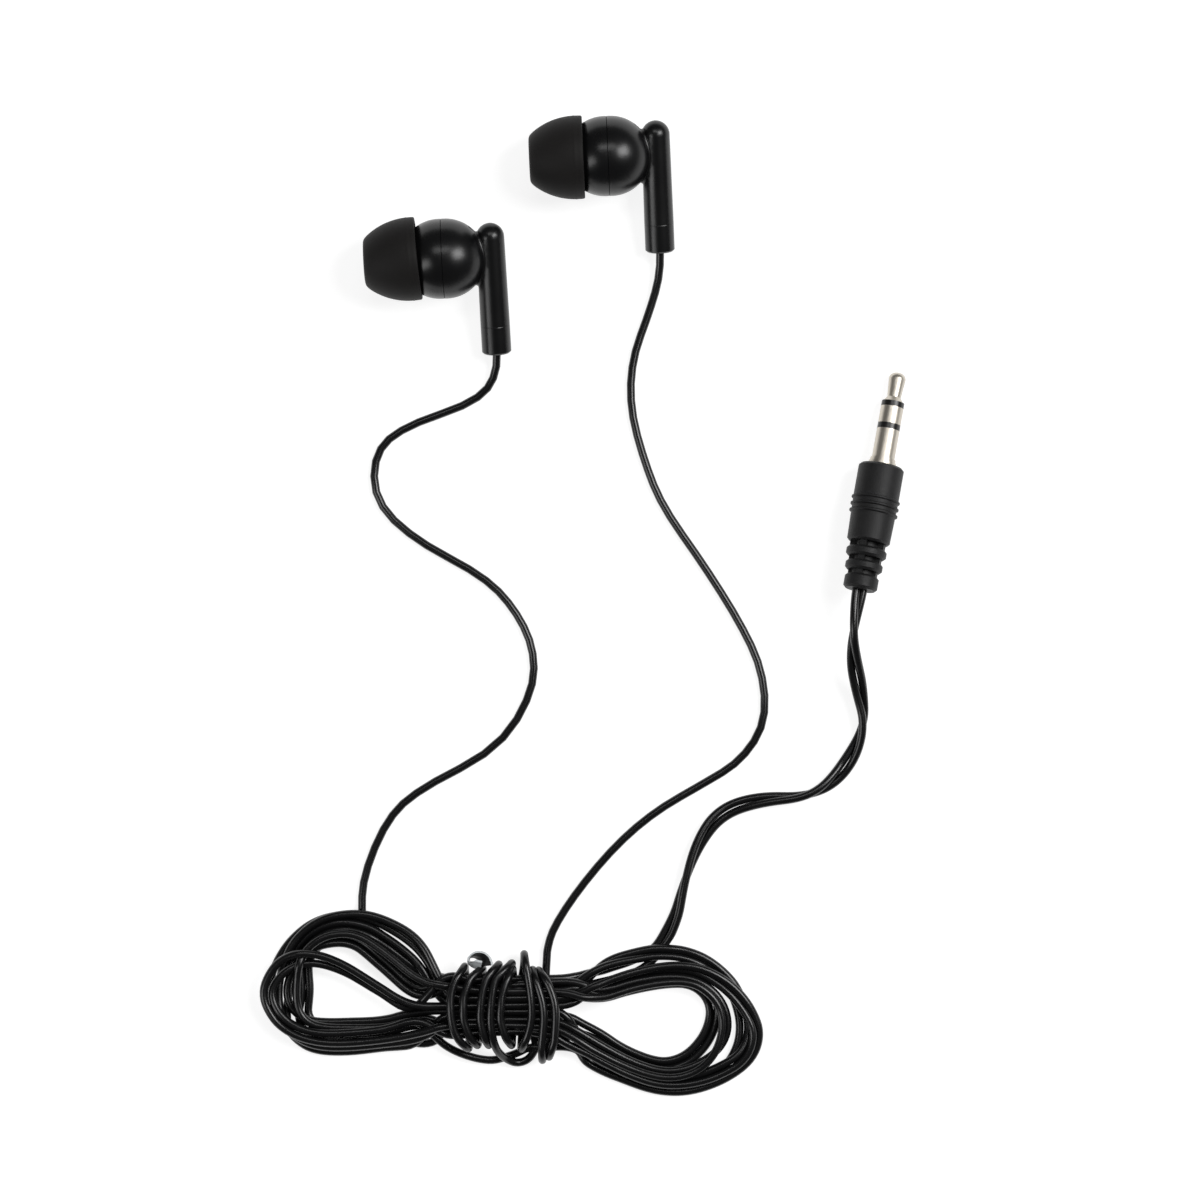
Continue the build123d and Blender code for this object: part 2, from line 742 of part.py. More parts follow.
for label, along, out in (
    ("point of the plug", 0, 0),
    ("middle of the round contacts", (front_ring_start + shoulder_start) / 2, 0),
    ("on the shoulder's face", plug_exposed, (anchor_radius + grip_radius - grip_edge) / 2),
):
    print(label, [round(v, 4) for v in (plug_spot * Pos(along, out, 0)).position])

plug_back = plug_exposed + grip_length
lead_start = [tuple((plug_spot * Pos(plug_back + run, 0, 0)).position) for run in (0, lead_exit_run)]
print("lead starts", [tuple(round(v, 3) for v in p) for p in lead_start])
write("plug_lead", tube_along(lead_start + lead_route, pair_diameter, "plug lead"))

write("binding_wraps", binding_wraps())
write("cord_hank", cord_hank())
tie_place = Pos(-6.6, -110.9, 4.6) * Rot(Z=35) * Rot(X=90) * Pos(0, 0, -tie_width / 2)
write("twist_tie", tie_place * twist_tie())
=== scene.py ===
"""Wired earphones on a pale table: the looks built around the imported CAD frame.

Lengths are in metres, +Z is up and the table is at zero height.  The two wires, the soft ear
tips and the tie are made here; every other piece is a CAD node that gets a finish.
"""

from __future__ import annotations

import json
import logging
import math
from dataclasses import dataclass, field, replace
from enum import Enum
from typing import Mapping, Sequence, Union

import bpy
import numpy as np
from mathutils import Matrix, Vector

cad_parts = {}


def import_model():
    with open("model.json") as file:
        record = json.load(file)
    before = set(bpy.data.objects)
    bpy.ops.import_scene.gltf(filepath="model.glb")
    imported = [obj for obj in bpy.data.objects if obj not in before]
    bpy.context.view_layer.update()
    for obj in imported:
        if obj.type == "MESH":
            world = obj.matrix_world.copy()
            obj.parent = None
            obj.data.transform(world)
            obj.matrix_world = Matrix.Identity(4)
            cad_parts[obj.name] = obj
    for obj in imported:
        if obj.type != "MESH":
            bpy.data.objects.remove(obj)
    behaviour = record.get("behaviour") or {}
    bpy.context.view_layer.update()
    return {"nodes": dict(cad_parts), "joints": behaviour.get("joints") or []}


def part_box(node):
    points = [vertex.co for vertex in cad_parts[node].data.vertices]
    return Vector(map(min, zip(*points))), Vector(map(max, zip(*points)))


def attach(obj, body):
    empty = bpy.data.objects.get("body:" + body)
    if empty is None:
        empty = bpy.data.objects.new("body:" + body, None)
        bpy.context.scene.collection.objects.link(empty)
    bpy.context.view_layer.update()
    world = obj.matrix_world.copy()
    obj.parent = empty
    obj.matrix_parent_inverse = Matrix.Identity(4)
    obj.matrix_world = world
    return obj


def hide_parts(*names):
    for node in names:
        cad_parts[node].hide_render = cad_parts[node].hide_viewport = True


LOG = logging.getLogger("earphones")
MM = 0.001

Colour = tuple[float, float, float]
Point = tuple[float, float, float]


# ------------------------------------------------------------------ shader building
class Value:
    """A node socket that takes part in arithmetic; each operation adds a Math node."""

    def __init__(self, tree: "ShaderTree", socket: bpy.types.NodeSocket) -> None:
        """Wraps a socket.

        Args:
            tree: The tree that the socket belongs to.
            socket: An output socket.
        """
        self.tree = tree
        self.socket = socket

    def _math(self, operation: str, first: "Number", second: "Number") -> "Value":
        """One Math node on two numbers or sockets."""
        return self.tree.node("ShaderNodeMath", {"operation": operation}, {0: first, 1: second})

    def __add__(self, other: "Number") -> "Value":
        """This plus other."""
        return self._math("ADD", self, other)

    def __radd__(self, other: "Number") -> "Value":
        """Other plus this."""
        return self._math("ADD", other, self)

    def __sub__(self, other: "Number") -> "Value":
        """This minus other."""
        return self._math("SUBTRACT", self, other)

    def __rsub__(self, other: "Number") -> "Value":
        """Other minus this."""
        return self._math("SUBTRACT", other, self)

    def __mul__(self, other: "Number") -> "Value":
        """This times other."""
        return self._math("MULTIPLY", self, other)

    def __rmul__(self, other: "Number") -> "Value":
        """Other times this."""
        return self._math("MULTIPLY", other, self)

    def __truediv__(self, other: "Number") -> "Value":
        """This over other."""
        return self._math("DIVIDE", self, other)

    def __rtruediv__(self, other: "Number") -> "Value":
        """Other over this."""
        return self._math("DIVIDE", other, self)

    def __abs__(self) -> "Value":
        """Its size without its sign."""
        return self._math("ABSOLUTE", self, 0.0)

    def sine(self) -> "Value":
        """Its sine, in radians."""
        return self._math("SINE", self, 0.0)

    def at_most(self, limit: "Number") -> "Value":
        """The smaller of this and the limit."""
        return self._math("MINIMUM", self, limit)

    def at_least(self, limit: "Number") -> "Value":
        """The larger of this and the limit."""
        return self._math("MAXIMUM", self, limit)

    def step(self, start: float, end: float) -> "Value":
        """A smooth step from 0 at start to 1 at end.

        Args:
            start: Where the step begins.
            end: Where it ends.

        Returns:
            The step's value.
        """
        settings = {"interpolation_type": "SMOOTHSTEP"}
        return self.tree.node(
            "ShaderNodeMapRange", settings, {0: self, 1: start, 2: end, 3: 0.0, 4: 1.0}
        )


Number = Union[float, Value]


class ShaderTree:
    """One material's node tree."""

    def __init__(self, name: str) -> None:
        """Makes an empty material.

        Args:
            name: The material's name.
        """
        self.material = bpy.data.materials.new(name)
        self.material.use_nodes = True
        self.nodes = self.material.node_tree.nodes
        self.links = self.material.node_tree.links
        self.nodes.clear()

    def node(
        self,
        kind: str,
        settings: Mapping[str, object] | None = None,
        inputs: Mapping[Union[int, str], object] | None = None,
        output: Union[int, str] = 0,
    ) -> Value:
        """Adds a node.

        Args:
            kind: The node's type.
            settings: Its properties.
            inputs: A number, colour, vector or Value for each socket, by name or index.
            output: The socket to hand back.

        Returns:
            The chosen output socket.
        """
        made = self.nodes.new(kind)
        for key, setting in (settings or {}).items():
            setattr(made, key, setting)
        for key, value in (inputs or {}).items():
            if isinstance(value, Value):
                self.links.new(value.socket, made.inputs[key])
            else:
                made.inputs[key].default_value = value
        return Value(self, made.outputs[output])

    def place(self) -> Value:
        """The point on the surface, in the row frame at rest."""
        return self.node("ShaderNodeTexCoord", output="Object")

    def along(self, origin: Sequence[float], direction: Sequence[float]) -> Value:
        """How far the surface lies from a point along a direction, in metres.

        Args:
            origin: The point measured from.
            direction: A unit vector.

        Returns:
            The signed distance.
        """
        away = self.node(
            "ShaderNodeVectorMath", {"operation": "SUBTRACT"}, {0: self.place(), 1: origin}
        )
        return self.node(
            "ShaderNodeVectorMath",
            {"operation": "DOT_PRODUCT"},
            {0: away, 1: direction},
            output="Value",
        )

    def noise(self, size: float, detail: float = 2.0, rough: float = 0.5) -> Value:
        """Cloudy noise from 0 to 1.

        Args:
            size: The width of its blotches, in metres.
            detail: Octaves.
            rough: How strong the finer octaves are.

        Returns:
            The noise.
        """
        return self.node(
            "ShaderNodeTexNoise",
            {"noise_dimensions": "3D"},
            {"Vector": self.place(), "Scale": 1.0 / size, "Detail": detail, "Roughness": rough},
        )

    def blend(self, share: Number, first: Colour, second: Colour) -> Value:
        """Mixes two colours.

        Args:
            share: How much of the second.
            first: The first colour.
            second: The second colour.

        Returns:
            The mixed colour.
        """
        return self.node(
            "ShaderNodeMix",
            {"data_type": "RGBA"},
            {0: share, 6: (*first, 1.0), 7: (*second, 1.0)},
            output=2,
        )

    def bump(self, height: Value, depth: float) -> Value:
        """A Bump node.

        Args:
            height: The height, 0 to 1.
            depth: The height of 1, in metres.

        Returns:
            The bent normal.
        """
        return self.node(
            "ShaderNodeBump", {}, {"Strength": 1.0, "Distance": depth, "Height": height}, "Normal"
        )

    def surface(self, inputs: Mapping[Union[int, str], object]) -> bpy.types.Material:
        """Adds the surface shader and links it to the material's output.

        Args:
            inputs: A number, colour or Value for each of the shader's sockets.

        Returns:
            The finished material.
        """
        shader = self.node("ShaderNodeBsdfPrincipled", {}, inputs)
        output = self.nodes.new("ShaderNodeOutputMaterial")
        self.links.new(shader.socket, output.inputs["Surface"])
        return self.material


class Pattern(Enum):
    """What a finish shows besides its grain."""

    PLAIN = "plain"
    TURNED = "turned"  # fine rings left by a lathe, about an axis
    PARTED = "parted"  # the line where the mould's halves met
    FIBRES = "fibres"  # paper
    DRAWN = "drawn"  # long faint streaks of an extruded jacket
    WOUND = "wound"  # side by side turns of a fine wire


@dataclass(frozen=True)
class Finish:
    """A surface: its colours, gloss and grain."""

    name: str
    colour: Colour
    second: Colour
    roughness: float
    spread: float = 0.08
    metallic: float = 0.0
    grain: float = 0.25 * MM
    depth: float = 0.004 * MM
    blotch: float = 3.0 * MM
    coat: float = 0.0
    specular: float = 0.5
    pattern: Pattern = Pattern.PLAIN
    line_width: float = 0.05 * MM
    line_depth: float = 0.02 * MM

    def material(
        self, origin: Sequence[float] = (0, 0, 0), axis: Sequence[float] = (0, 0, 1), tag: str = ""
    ) -> bpy.types.Material:
        """Builds the material.

        Args:
            origin: A point on the part's own axis or parting plane.
            axis: The axis, or the parting plane's normal.
            tag: Added to the name where the finish is used at several places.

        Returns:
            The material.
        """
        tree = ShaderTree(self.name + tag)
        cloud = tree.noise(self.blotch, 3.0)
        grain = tree.noise(self.grain, 2.0, 0.6)
        height, gloss, share = grain, cloud, cloud * 0.6 + grain * 0.4
        if self.pattern is Pattern.TURNED:
            rings = self._rings(tree, origin, axis)
            height, gloss = grain * 0.3 + rings, cloud * 0.4 + rings * 0.6
        elif self.pattern is Pattern.PARTED:
            away = abs(tree.along(origin, axis))
            ridge = 1.0 - away.step(0.25 * self.line_width, self.line_width)
            height = grain + ridge * (self.line_depth / self.depth)
        elif self.pattern is Pattern.FIBRES:
            fibres = tree.node(
                "ShaderNodeTexVoronoi",
                {"feature": "DISTANCE_TO_EDGE"},
                {"Vector": tree.place(), "Scale": 1.0 / (3 * self.grain)},
            )
            height, share = fibres + grain * 0.5, fibres.step(0.0, 0.3)
        elif self.pattern is Pattern.DRAWN:
            ripple = tree.noise(6 * self.grain, 1.0)
            height = ripple * 2.0 + grain * 0.35
        elif self.pattern is Pattern.WOUND:
            strands = (tree.along(origin, axis) * (2 * math.pi / self.line_width)).sine()
            height, share = strands * 0.5 + 0.5, strands * 0.35 + 0.5
        limited = share.at_least(0.0).at_most(1.0)
        return tree.surface(
            {
                "Base Color": tree.blend(limited, self.colour, self.second),
                "Roughness": gloss * (2 * self.spread) + (self.roughness - self.spread),
                "Metallic": self.metallic,
                "Specular IOR Level": self.specular,
                "Coat Weight": self.coat,
                "Normal": tree.bump(height, self.depth),
            }
        )

    def _rings(self, tree: ShaderTree, origin: Sequence[float], axis: Sequence[float]) -> Value:
        """Uneven fine rings about an axis.

        Args:
            tree: The material's tree.
            origin: A point on the axis.
            axis: The axis.

        Returns:
            The rings, 0 to 1.
        """
        along = tree.along(origin, axis)
        return tree.node(
            "ShaderNodeTexNoise",
            {"noise_dimensions": "1D"},
            {"W": along / self.grain, "Scale": 1.0, "Detail": 3.0, "Roughness": 0.7},
        )


HOUSING = Finish(
    "housing_plastic", (0.003, 0.003, 0.0033), (0.0052, 0.0052, 0.0056), 0.29, 0.05,
    grain=0.35 * MM, depth=0.0012 * MM, blotch=5 * MM, specular=0.42,
    pattern=Pattern.PARTED, line_width=0.07 * MM, line_depth=0.012 * MM,
)
SLEEVE = replace(HOUSING, name="sleeve_plastic", line_width=0.16 * MM, line_depth=-0.03 * MM)
SILICONE = Finish(
    "tip_silicone", (0.0068, 0.0062, 0.006), (0.011, 0.010, 0.0096), 0.62, 0.06,
    grain=0.16 * MM, depth=0.006 * MM, blotch=2.5 * MM, specular=0.2,
)
JACKET = Finish(
    "cord_pvc", (0.0032, 0.0032, 0.0035), (0.006, 0.006, 0.0064), 0.27, 0.05,
    grain=0.4 * MM, depth=0.0012 * MM, blotch=4 * MM, specular=0.46, pattern=Pattern.DRAWN,
)
GRIP = Finish(
    "plug_pvc", (0.007, 0.007, 0.0074), (0.016, 0.016, 0.0165), 0.5, 0.08,
    grain=0.17 * MM, depth=0.035 * MM, blotch=1.5 * MM, specular=0.28,
)
NICKEL = Finish(
    "contact_nickel", (0.7, 0.655, 0.58), (0.56, 0.515, 0.44), 0.4, 0.07, metallic=1.0,
    grain=0.06 * MM, depth=0.0025 * MM, pattern=Pattern.TURNED,
)
INSULATOR = Finish(
    "insulator_plastic", (0.006, 0.006, 0.006), (0.011, 0.011, 0.011), 0.3, 0.06,
    grain=0.08 * MM, depth=0.003 * MM, pattern=Pattern.TURNED,
)
INNER_MOULD = Finish(
    "inner_mould_plastic", (0.55, 0.53, 0.48), (0.68, 0.66, 0.6), 0.45, grain=0.3 * MM,
)
SCREEN = Finish(
    "screen_steel", (0.42, 0.42, 0.43), (0.3, 0.3, 0.31), 0.32, 0.08, metallic=1.0,
    grain=0.09 * MM, depth=0.003 * MM,
)
DRIVER_PLASTIC = Finish(
    "frame_plastic", (0.02, 0.02, 0.022), (0.035, 0.035, 0.036), 0.5, grain=0.2 * MM,
)
DAMPER = Finish(
    "damper_paper", (0.72, 0.7, 0.64), (0.86, 0.84, 0.79), 0.85, grain=0.08 * MM,
    depth=0.015 * MM, pattern=Pattern.FIBRES,
)
FILM = Finish(
    "diaphragm_film", (0.45, 0.36, 0.2), (0.62, 0.52, 0.32), 0.22, 0.05, grain=0.5 * MM,
    coat=0.3,
)
COPPER = Finish(
    "enamelled_copper", (0.72, 0.3, 0.14), (0.5, 0.17, 0.07), 0.3, 0.06, metallic=1.0,
    pattern=Pattern.WOUND, line_width=0.08 * MM, depth=0.02 * MM,
)
MAGNET_STEEL = Finish(
    "magnet_steel", (0.5, 0.5, 0.49), (0.38, 0.38, 0.37), 0.34, 0.08, metallic=1.0,
    grain=0.12 * MM, depth=0.003 * MM,
)
MAGNET = Finish(
    "magnet_metal", (0.62, 0.6, 0.56), (0.5, 0.48, 0.44), 0.25, 0.06, metallic=1.0,
    grain=0.15 * MM,
)
BOARD = Finish(
    "board", (0.02, 0.12, 0.045), (0.035, 0.17, 0.07), 0.38, grain=0.25 * MM, coat=0.4,
)
TIE_WHITE = Finish(
    "tie_white", (0.74, 0.77, 0.78), (0.62, 0.66, 0.68), 0.42, 0.08, grain=0.18 * MM,
    depth=0.02 * MM, blotch=1.2 * MM,
)
TIE_BLACK = Finish(
    "tie_black", (0.01, 0.01, 0.011), (0.02, 0.02, 0.021), 0.4, 0.08, grain=0.18 * MM,
    depth=0.015 * MM, blotch=1.2 * MM,
)

NODE_FINISHES: dict[str, Finish] = {
    "nozzle_screen": SCREEN,
    "cord_knot": JACKET,
    "inner_lead": COPPER,
    "driver_cover": DRIVER_PLASTIC,
    "driver_frame": DRIVER_PLASTIC,
    "damper": DAMPER,
    "diaphragm": FILM,
    "voice_coil": COPPER,
    "yoke": MAGNET_STEEL,
    "magnet": MAGNET,
    "pole_plate": MAGNET_STEEL,
    "terminal_board": BOARD,
}
PLUG_FINISHES: dict[str, Finish] = {
    "plug_tip": NICKEL,
    "plug_front_insulator": INSULATOR,
    "plug_ring": NICKEL,
    "plug_rear_insulator": INSULATOR,
    "plug_sleeve": NICKEL,
    "plug_lead_tails": COPPER,
    "plug_inner_mould": INNER_MOULD,
    "plug_grip": GRIP,
}


def dress(node: bpy.types.Object, material: bpy.types.Material) -> None:
    """Puts one material on an object.

    Args:
        node: The object.
        material: Its material.
    """
    node.data.materials.clear()
    node.data.materials.append(material)


def smooth_step(t: np.ndarray) -> np.ndarray:
    """Smooth 0 to 1 ramp of values that are first limited to 0 to 1."""
    t = np.clip(t, 0.0, 1.0)
    return t * t * (3 - 2 * t)


def middle(node: str) -> Vector:
    """The middle of a CAD node's box."""
    low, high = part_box(node)
    return (low + high) / 2


# ------------------------------------------------------------------ earbuds
@dataclass
class Earbud:
    """One earbud: its CAD pieces dressed, and its soft tip made anew."""

    side: str
    joint_axis: Vector
    skew: float = 0.0  # radians that the tip's skirt is turned in plan
    nod: float = 0.0  # radians that its nose drops
    magnet_behind: float = 1.05 * MM  # magnet's middle behind the ball's middle
    hole: float = 1.9 * MM
    bore: float = 2.42 * MM
    sleeve: float = 3.25 * MM
    nose: float = 3.2 * MM
    skirt: float = 6.35 * MM
    wall: float = 0.55 * MM
    length: float = 8.25 * MM
    nose_place: float = 11.96 * MM  # nose in front of the ball's middle
    sleeve_back: float = 6.42 * MM  # sleeve's end in front of the ball's middle
    step_back: float = 11.06 * MM
    sleeve_line: float = 10.67 * MM  # the stem sleeve's top below the ball's middle
    around: int = 144

    def __post_init__(self) -> None:
        """Works out where the earbud's own axes point."""
        back = -self.joint_axis.normalized()
        magnet = middle(f"{self.side}_magnet")
        down = middle(f"{self.side}_cord_knot") - magnet
        up_stem = -(down - down.dot(back) * back).normalized()
        self.back = back
        self.up_stem = up_stem
        self.over = back.cross(up_stem)
        self.centre = magnet - back * self.magnet_behind
        self.place = Matrix.Translation(self.centre) @ Matrix(
            (back, up_stem, self.over)
        ).transposed().to_4x4()

    def dress_shells(self, nodes: Mapping[str, bpy.types.Object]) -> None:
        """Gives each CAD piece its finish.

        Args:
            nodes: The CAD nodes by name.
        """
        housing = HOUSING.material(self.centre, self.over, f"_{self.side}")
        for part in ("front_shell", "rear_shell"):
            dress(nodes[f"{self.side}_{part}"], housing)
        sleeve_top = self.centre - self.up_stem * self.sleeve_line
        sleeve = SLEEVE.material(sleeve_top, self.up_stem, f"_{self.side}")
        dress(nodes[f"{self.side}_stem_sleeve"], sleeve)
        for part, finish in NODE_FINISHES.items():
            name = f"{self.side}_{part}"
            dress(nodes[name], finish.material(self.centre, self.back, f"_{name}"))

    def tip_outline(self) -> list[tuple[float, float]]:
        """The tip's section.

        Returns:
            A closed outline of points along the nozzle and away from its axis.
        """
        nose, rim = -self.nose_place, -self.nose_place + self.length
        inner = self.skirt - self.wall
        outline: list[tuple[float, float]] = [(nose + 0.12 * MM, self.hole)]
        outline += arc(
            (nose, self.hole + 0.12 * MM), (nose - 0.03 * MM, 2.4 * MM), (nose, self.nose), 6
        )
        outline += arc(
            (nose + 0.03 * MM, self.nose + 0.15 * MM),
            (nose + 0.2 * MM, self.nose + 0.47 * MM),
            (nose + 0.5 * MM, self.nose + 0.78 * MM),
            6,
        )
        outline += arc(
            (nose + 0.7 * MM, self.nose + 0.97 * MM),
            (nose + 0.36 * self.length, 0.868 * self.skirt),
            (nose + 0.79 * self.length, 0.998 * self.skirt),
            26,
        )
        outline += [
            (rim - 1.45 * MM, self.skirt),
            (rim - 1.3 * MM, self.skirt + 0.035 * MM),
            (rim - 1.15 * MM, self.skirt),
            (rim - 0.6 * MM, self.skirt - 0.01 * MM),
        ]
        outline += arc(
            (rim - 0.2 * MM, self.skirt - 0.03 * MM),
            (rim, self.skirt - 0.27 * MM),
            (rim - 0.16 * MM, inner + 0.02 * MM),
            8,
        )
        root = (nose + 1.75 * MM, self.sleeve + 0.25 * MM)
        outline += arc(
            (rim - 0.8 * MM, inner), (nose + 0.52 * self.length, 0.915 * inner), root, 22
        )
        outline += arc(
            (nose + 1.6 * MM, self.sleeve + 0.1 * MM),
            (nose + 1.62 * MM, self.sleeve + 0.01 * MM),
            (nose + 1.8 * MM, self.sleeve),
            5,
        )
        outline += arc(
            (-self.sleeve_back - 0.25 * MM, self.sleeve),
            (-self.sleeve_back, self.sleeve - 0.25 * MM),
            (-self.sleeve_back - 0.12 * MM, self.bore + 0.08 * MM),
            6,
        )
        outline += [
            (-self.sleeve_back - 0.3 * MM, self.bore),
            (-self.step_back + 0.1 * MM, self.bore),
            (-self.step_back, self.bore - 0.1 * MM),
            (-self.step_back, self.hole + 0.1 * MM),
            (-self.step_back - 0.1 * MM, self.hole),
        ]
        return outline

    def make_tip(self) -> bpy.types.Object:
        """Makes the soft tip on its nozzle.

        Returns:
            The tip, riding on its body.
        """
        points, faces = lathe(self.tip_outline(), self.around)
        away = np.hypot(points[:, 1], points[:, 2])
        loose = smooth_step((away - 2.7 * MM) / (2.2 * MM))
        pivot = np.array([-9.0 * MM, 0.0, 0.0])
        turned = (points - pivot) @ rotation(self.nod, self.skew).T + pivot
        points = points + loose[:, None] * (turned - points)
        angle = np.arctan2(points[:, 2], points[:, 1])
        back = smooth_step((points[:, 0] + self.nose_place) / self.length)
        sway = 1 + 0.004 * np.sin(2 * angle + 0.6) * loose * back
        points[:, 1:] *= sway[:, None]
        world = np.array(self.place)
        points = points @ world[:3, :3].T + world[:3, 3]
        tip = mesh_object(f"{self.side}_soft_tip", points, faces)
        dress(tip, SILICONE.material(self.centre, self.back, f"_{self.side}"))
        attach(tip, f"{self.side}_tip")
        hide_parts(f"{self.side}_ear_tip")
        return tip


def rotation(nod: float, skew: float) -> np.ndarray:
    """The turn of a tip about its own two cross axes.

    Args:
        nod: Radians about Y.
        skew: Radians about Z.

    Returns:
        A 3 by 3 matrix.
    """
    return np.array(Matrix.Rotation(skew, 3, "Z") @ Matrix.Rotation(nod, 3, "Y"))


def arc(
    start: tuple[float, float], through: tuple[float, float], end: tuple[float, float], count: int
) -> list[tuple[float, float]]:
    """Points on the circle's arc from start through a point to end.

    Args:
        start: First point.
        through: A point between.
        end: Last point.
        count: How many points.

    Returns:
        The points, with both ends.
    """
    a, b, c = (complex(*p) for p in (start, through, end))
    w = (c - a) / (b - a)
    centre = (b - a) * (w - abs(w) ** 2) / (2j * w.imag) + a
    first = math.atan2((a - centre).imag, (a - centre).real)
    turn = np.angle((c - centre) / (a - centre))
    half = np.angle((b - centre) / (a - centre))
    if half * turn < 0 or abs(half) > abs(turn):
        turn -= math.copysign(2 * math.pi, turn)
    radius = abs(a - centre)
    return [
        (
            centre.real + radius * math.cos(first + turn * i / (count - 1)),
            centre.imag + radius * math.sin(first + turn * i / (count - 1)),
        )
        for i in range(count)
    ]


def lathe(
    outline: Sequence[tuple[float, float]], around: int
) -> tuple[np.ndarray, list[tuple[int, ...]]]:
    """Turns a closed outline about X.

    Args:
        outline: Points along X and away from it.
        around: How many times it is repeated round the axis.

    Returns:
        The points and the faces.
    """
    angles = np.linspace(0, 2 * math.pi, around, endpoint=False)
    flat = np.array(outline)
    rings = [
        np.stack([flat[:, 0], flat[:, 1] * math.cos(a), flat[:, 1] * math.sin(a)], axis=1)
        for a in angles
    ]
    count = len(outline)
    faces = [
        (
            i * count + j,
            i * count + (j + 1) % count,
            (i + 1) % around * count + (j + 1) % count,
            (i + 1) % around * count + j,
        )
        for i in range(around)
        for j in range(count)
    ]
    return np.concatenate(rings), faces


def mesh_object(
    name: str, points: np.ndarray, faces: Sequence[Sequence[int]]
) -> bpy.types.Object:
    """Makes a smooth mesh object.

    Args:
        name: Its name.
        points: Its points, in the row frame.
        faces: Its faces as point numbers.

    Returns:
        The object.
    """
    mesh = bpy.data.meshes.new(name)
    mesh.from_pydata([tuple(map(float, p)) for p in points], [], [tuple(f) for f in faces])
    mesh.validate()
    mesh.shade_smooth()
    made = bpy.data.objects.new(name, mesh)
    bpy.context.scene.collection.objects.link(made)
    return made


# ------------------------------------------------------------------ wires
WIRE = 1.25 * MM
REST = 0.635 * MM  # wire's middle above the table

LEFT_ROUTE: tuple[Point, ...] = (
    (-3.513, -17.669, 2.181),
    (-3.342, -20.931, 1.236),
    (-6.6, -25.2, 0.635),
    (-17.8, -28.9, 0.635),
    (-22.4, -32.9, 0.635),
    (-22.4, -40.4, 0.635),
    (-16.2, -46.4, 0.635),
    (-5.6, -51.9, 0.635),
    (-0.9, -56.8, 0.635),
    (2.15, -62.8, 0.635),
    (2.15, -69.6, 0.635),
    (-3.2, -78.5, 0.635),
    (-15.6, -84.7, 0.635),
    (-20.5, -89.3, 0.635),
    (-24.2, -98.3, 0.635),
    (-24.3, -104.3, 0.635),
)
RIGHT_ROUTE: tuple[Point, ...] = (
    (21.524, -2.09, 2.181),
    (21.667, -5.353, 1.236),
    (19.9, -11.4, 0.635),
    (17.2, -18.6, 0.635),
    (16.9, -26.2, 0.635),
    (19.2, -34.6, 0.635),
    (21.9, -41.3, 0.635),
    (28.1, -50.0, 0.635),
    (33.8, -59.0, 0.635),
    (37.3, -66.3, 0.635),
    (37.9, -74.4, 0.635),
    (34.0, -80.4, 0.635),
    (28.1, -83.9, 0.635),
    (20.9, -88.0, 0.635),
    (14.8, -93.2, 0.635),
    (8.9, -100.2, 0.635),
    (5.0, -106.2, 0.635),
)
LEAD_ROUTE: tuple[Point, ...] = (
    (51.896, -54.036, 6.506),
    (50.879, -59.474, 7.376),
    (51.0, -64.7, 5.2),
    (52.1, -69.4, 2.6),
    (53.1, -75.1, 1.26),
    (49.8, -82.0, 1.26),
    (44.8, -85.9, 1.26),
    (36.5, -86.2, 1.26),
    (30.6, -88.3, 1.26),
    (27.2, -93.2, 1.26),
    (25.0, -99.8, 1.26),
    (23.9, -105.0, 1.26),
    (21.4, -109.3, 1.26),
)


def in_metres(points: Sequence[Sequence[float]]) -> np.ndarray:
    """Points given in millimetres, in metres."""
    return np.array(points, float) * MM


def nurbs(name: str, points: np.ndarray, radius: float = 0.0) -> bpy.types.Object:
    """A curve of one open NURBS spline with these control points.

    Args:
        name: The curve's name.
        points: Its control points, in metres.
        radius: Half the thickness of its tube, or 0 for a bare line.

    Returns:
        The curve object.
    """
    curve = bpy.data.curves.new(name, "CURVE")
    curve.dimensions = "3D"
    spline = curve.splines.new("NURBS")
    spline.points.add(len(points) - 1)
    for point, place in zip(spline.points, points):
        point.co = (*map(float, place), 1.0)
    spline.order_u = 3
    spline.use_endpoint_u = True
    spline.resolution_u = 3
    curve.resolution_u = 3
    curve.bevel_depth = radius
    curve.bevel_resolution = 6
    curve.use_fill_caps = True
    made = bpy.data.objects.new(name, curve)
    bpy.context.scene.collection.objects.link(made)
    return made


def read_line(points: np.ndarray, resolution: int = 24) -> np.ndarray:
    """The points of a NURBS line as Blender draws it.

    Args:
        points: Its control points.
        resolution: Steps to a control point.

    Returns:
        The line's points.
    """
    line = nurbs("line", points)
    line.data.splines[0].resolution_u = resolution
    mesh = bpy.data.meshes.new_from_object(line)
    found = np.array([v.co for v in mesh.vertices], float)
    bpy.data.meshes.remove(mesh)
    bpy.data.curves.remove(line.data)
    return found


def spaced(line: np.ndarray, step: float) -> np.ndarray:
    """Samples a line again with points about a step apart.

    Args:
        line: Points in rows; columns after the third are carried along.
        step: The distance between the new points.

    Returns:
        The new rows.
    """
    run = np.concatenate([[0], np.cumsum(np.linalg.norm(np.diff(line[:, :3], axis=0), axis=1))])
    at = np.linspace(0, run[-1], max(2, round(run[-1] / step) + 1))
    return np.stack([np.interp(at, run, line[:, k]) for k in range(line.shape[1])], axis=1)


def eased(points: np.ndarray, step: float) -> np.ndarray:
    """A smooth line through points, sampled a step apart.

    Args:
        points: Points the line passes.
        step: The distance between the new points.

    Returns:
        The line.
    """
    ends = np.vstack([2 * points[0] - points[1], points, 2 * points[-1] - points[-2]])
    t = np.linspace(0, 1, 16, endpoint=False)[:, None]
    spans = []
    for a, b, c, d in zip(ends, ends[1:], ends[2:], ends[3:]):
        spans.append(
            0.5 * (2 * b + (c - a) * t + (2 * a - 5 * b + 4 * c - d) * t**2
                   + (3 * b - a - 3 * c + d) * t**3)
        )
    return spaced(np.vstack([*spans, points[-1:]]), step)


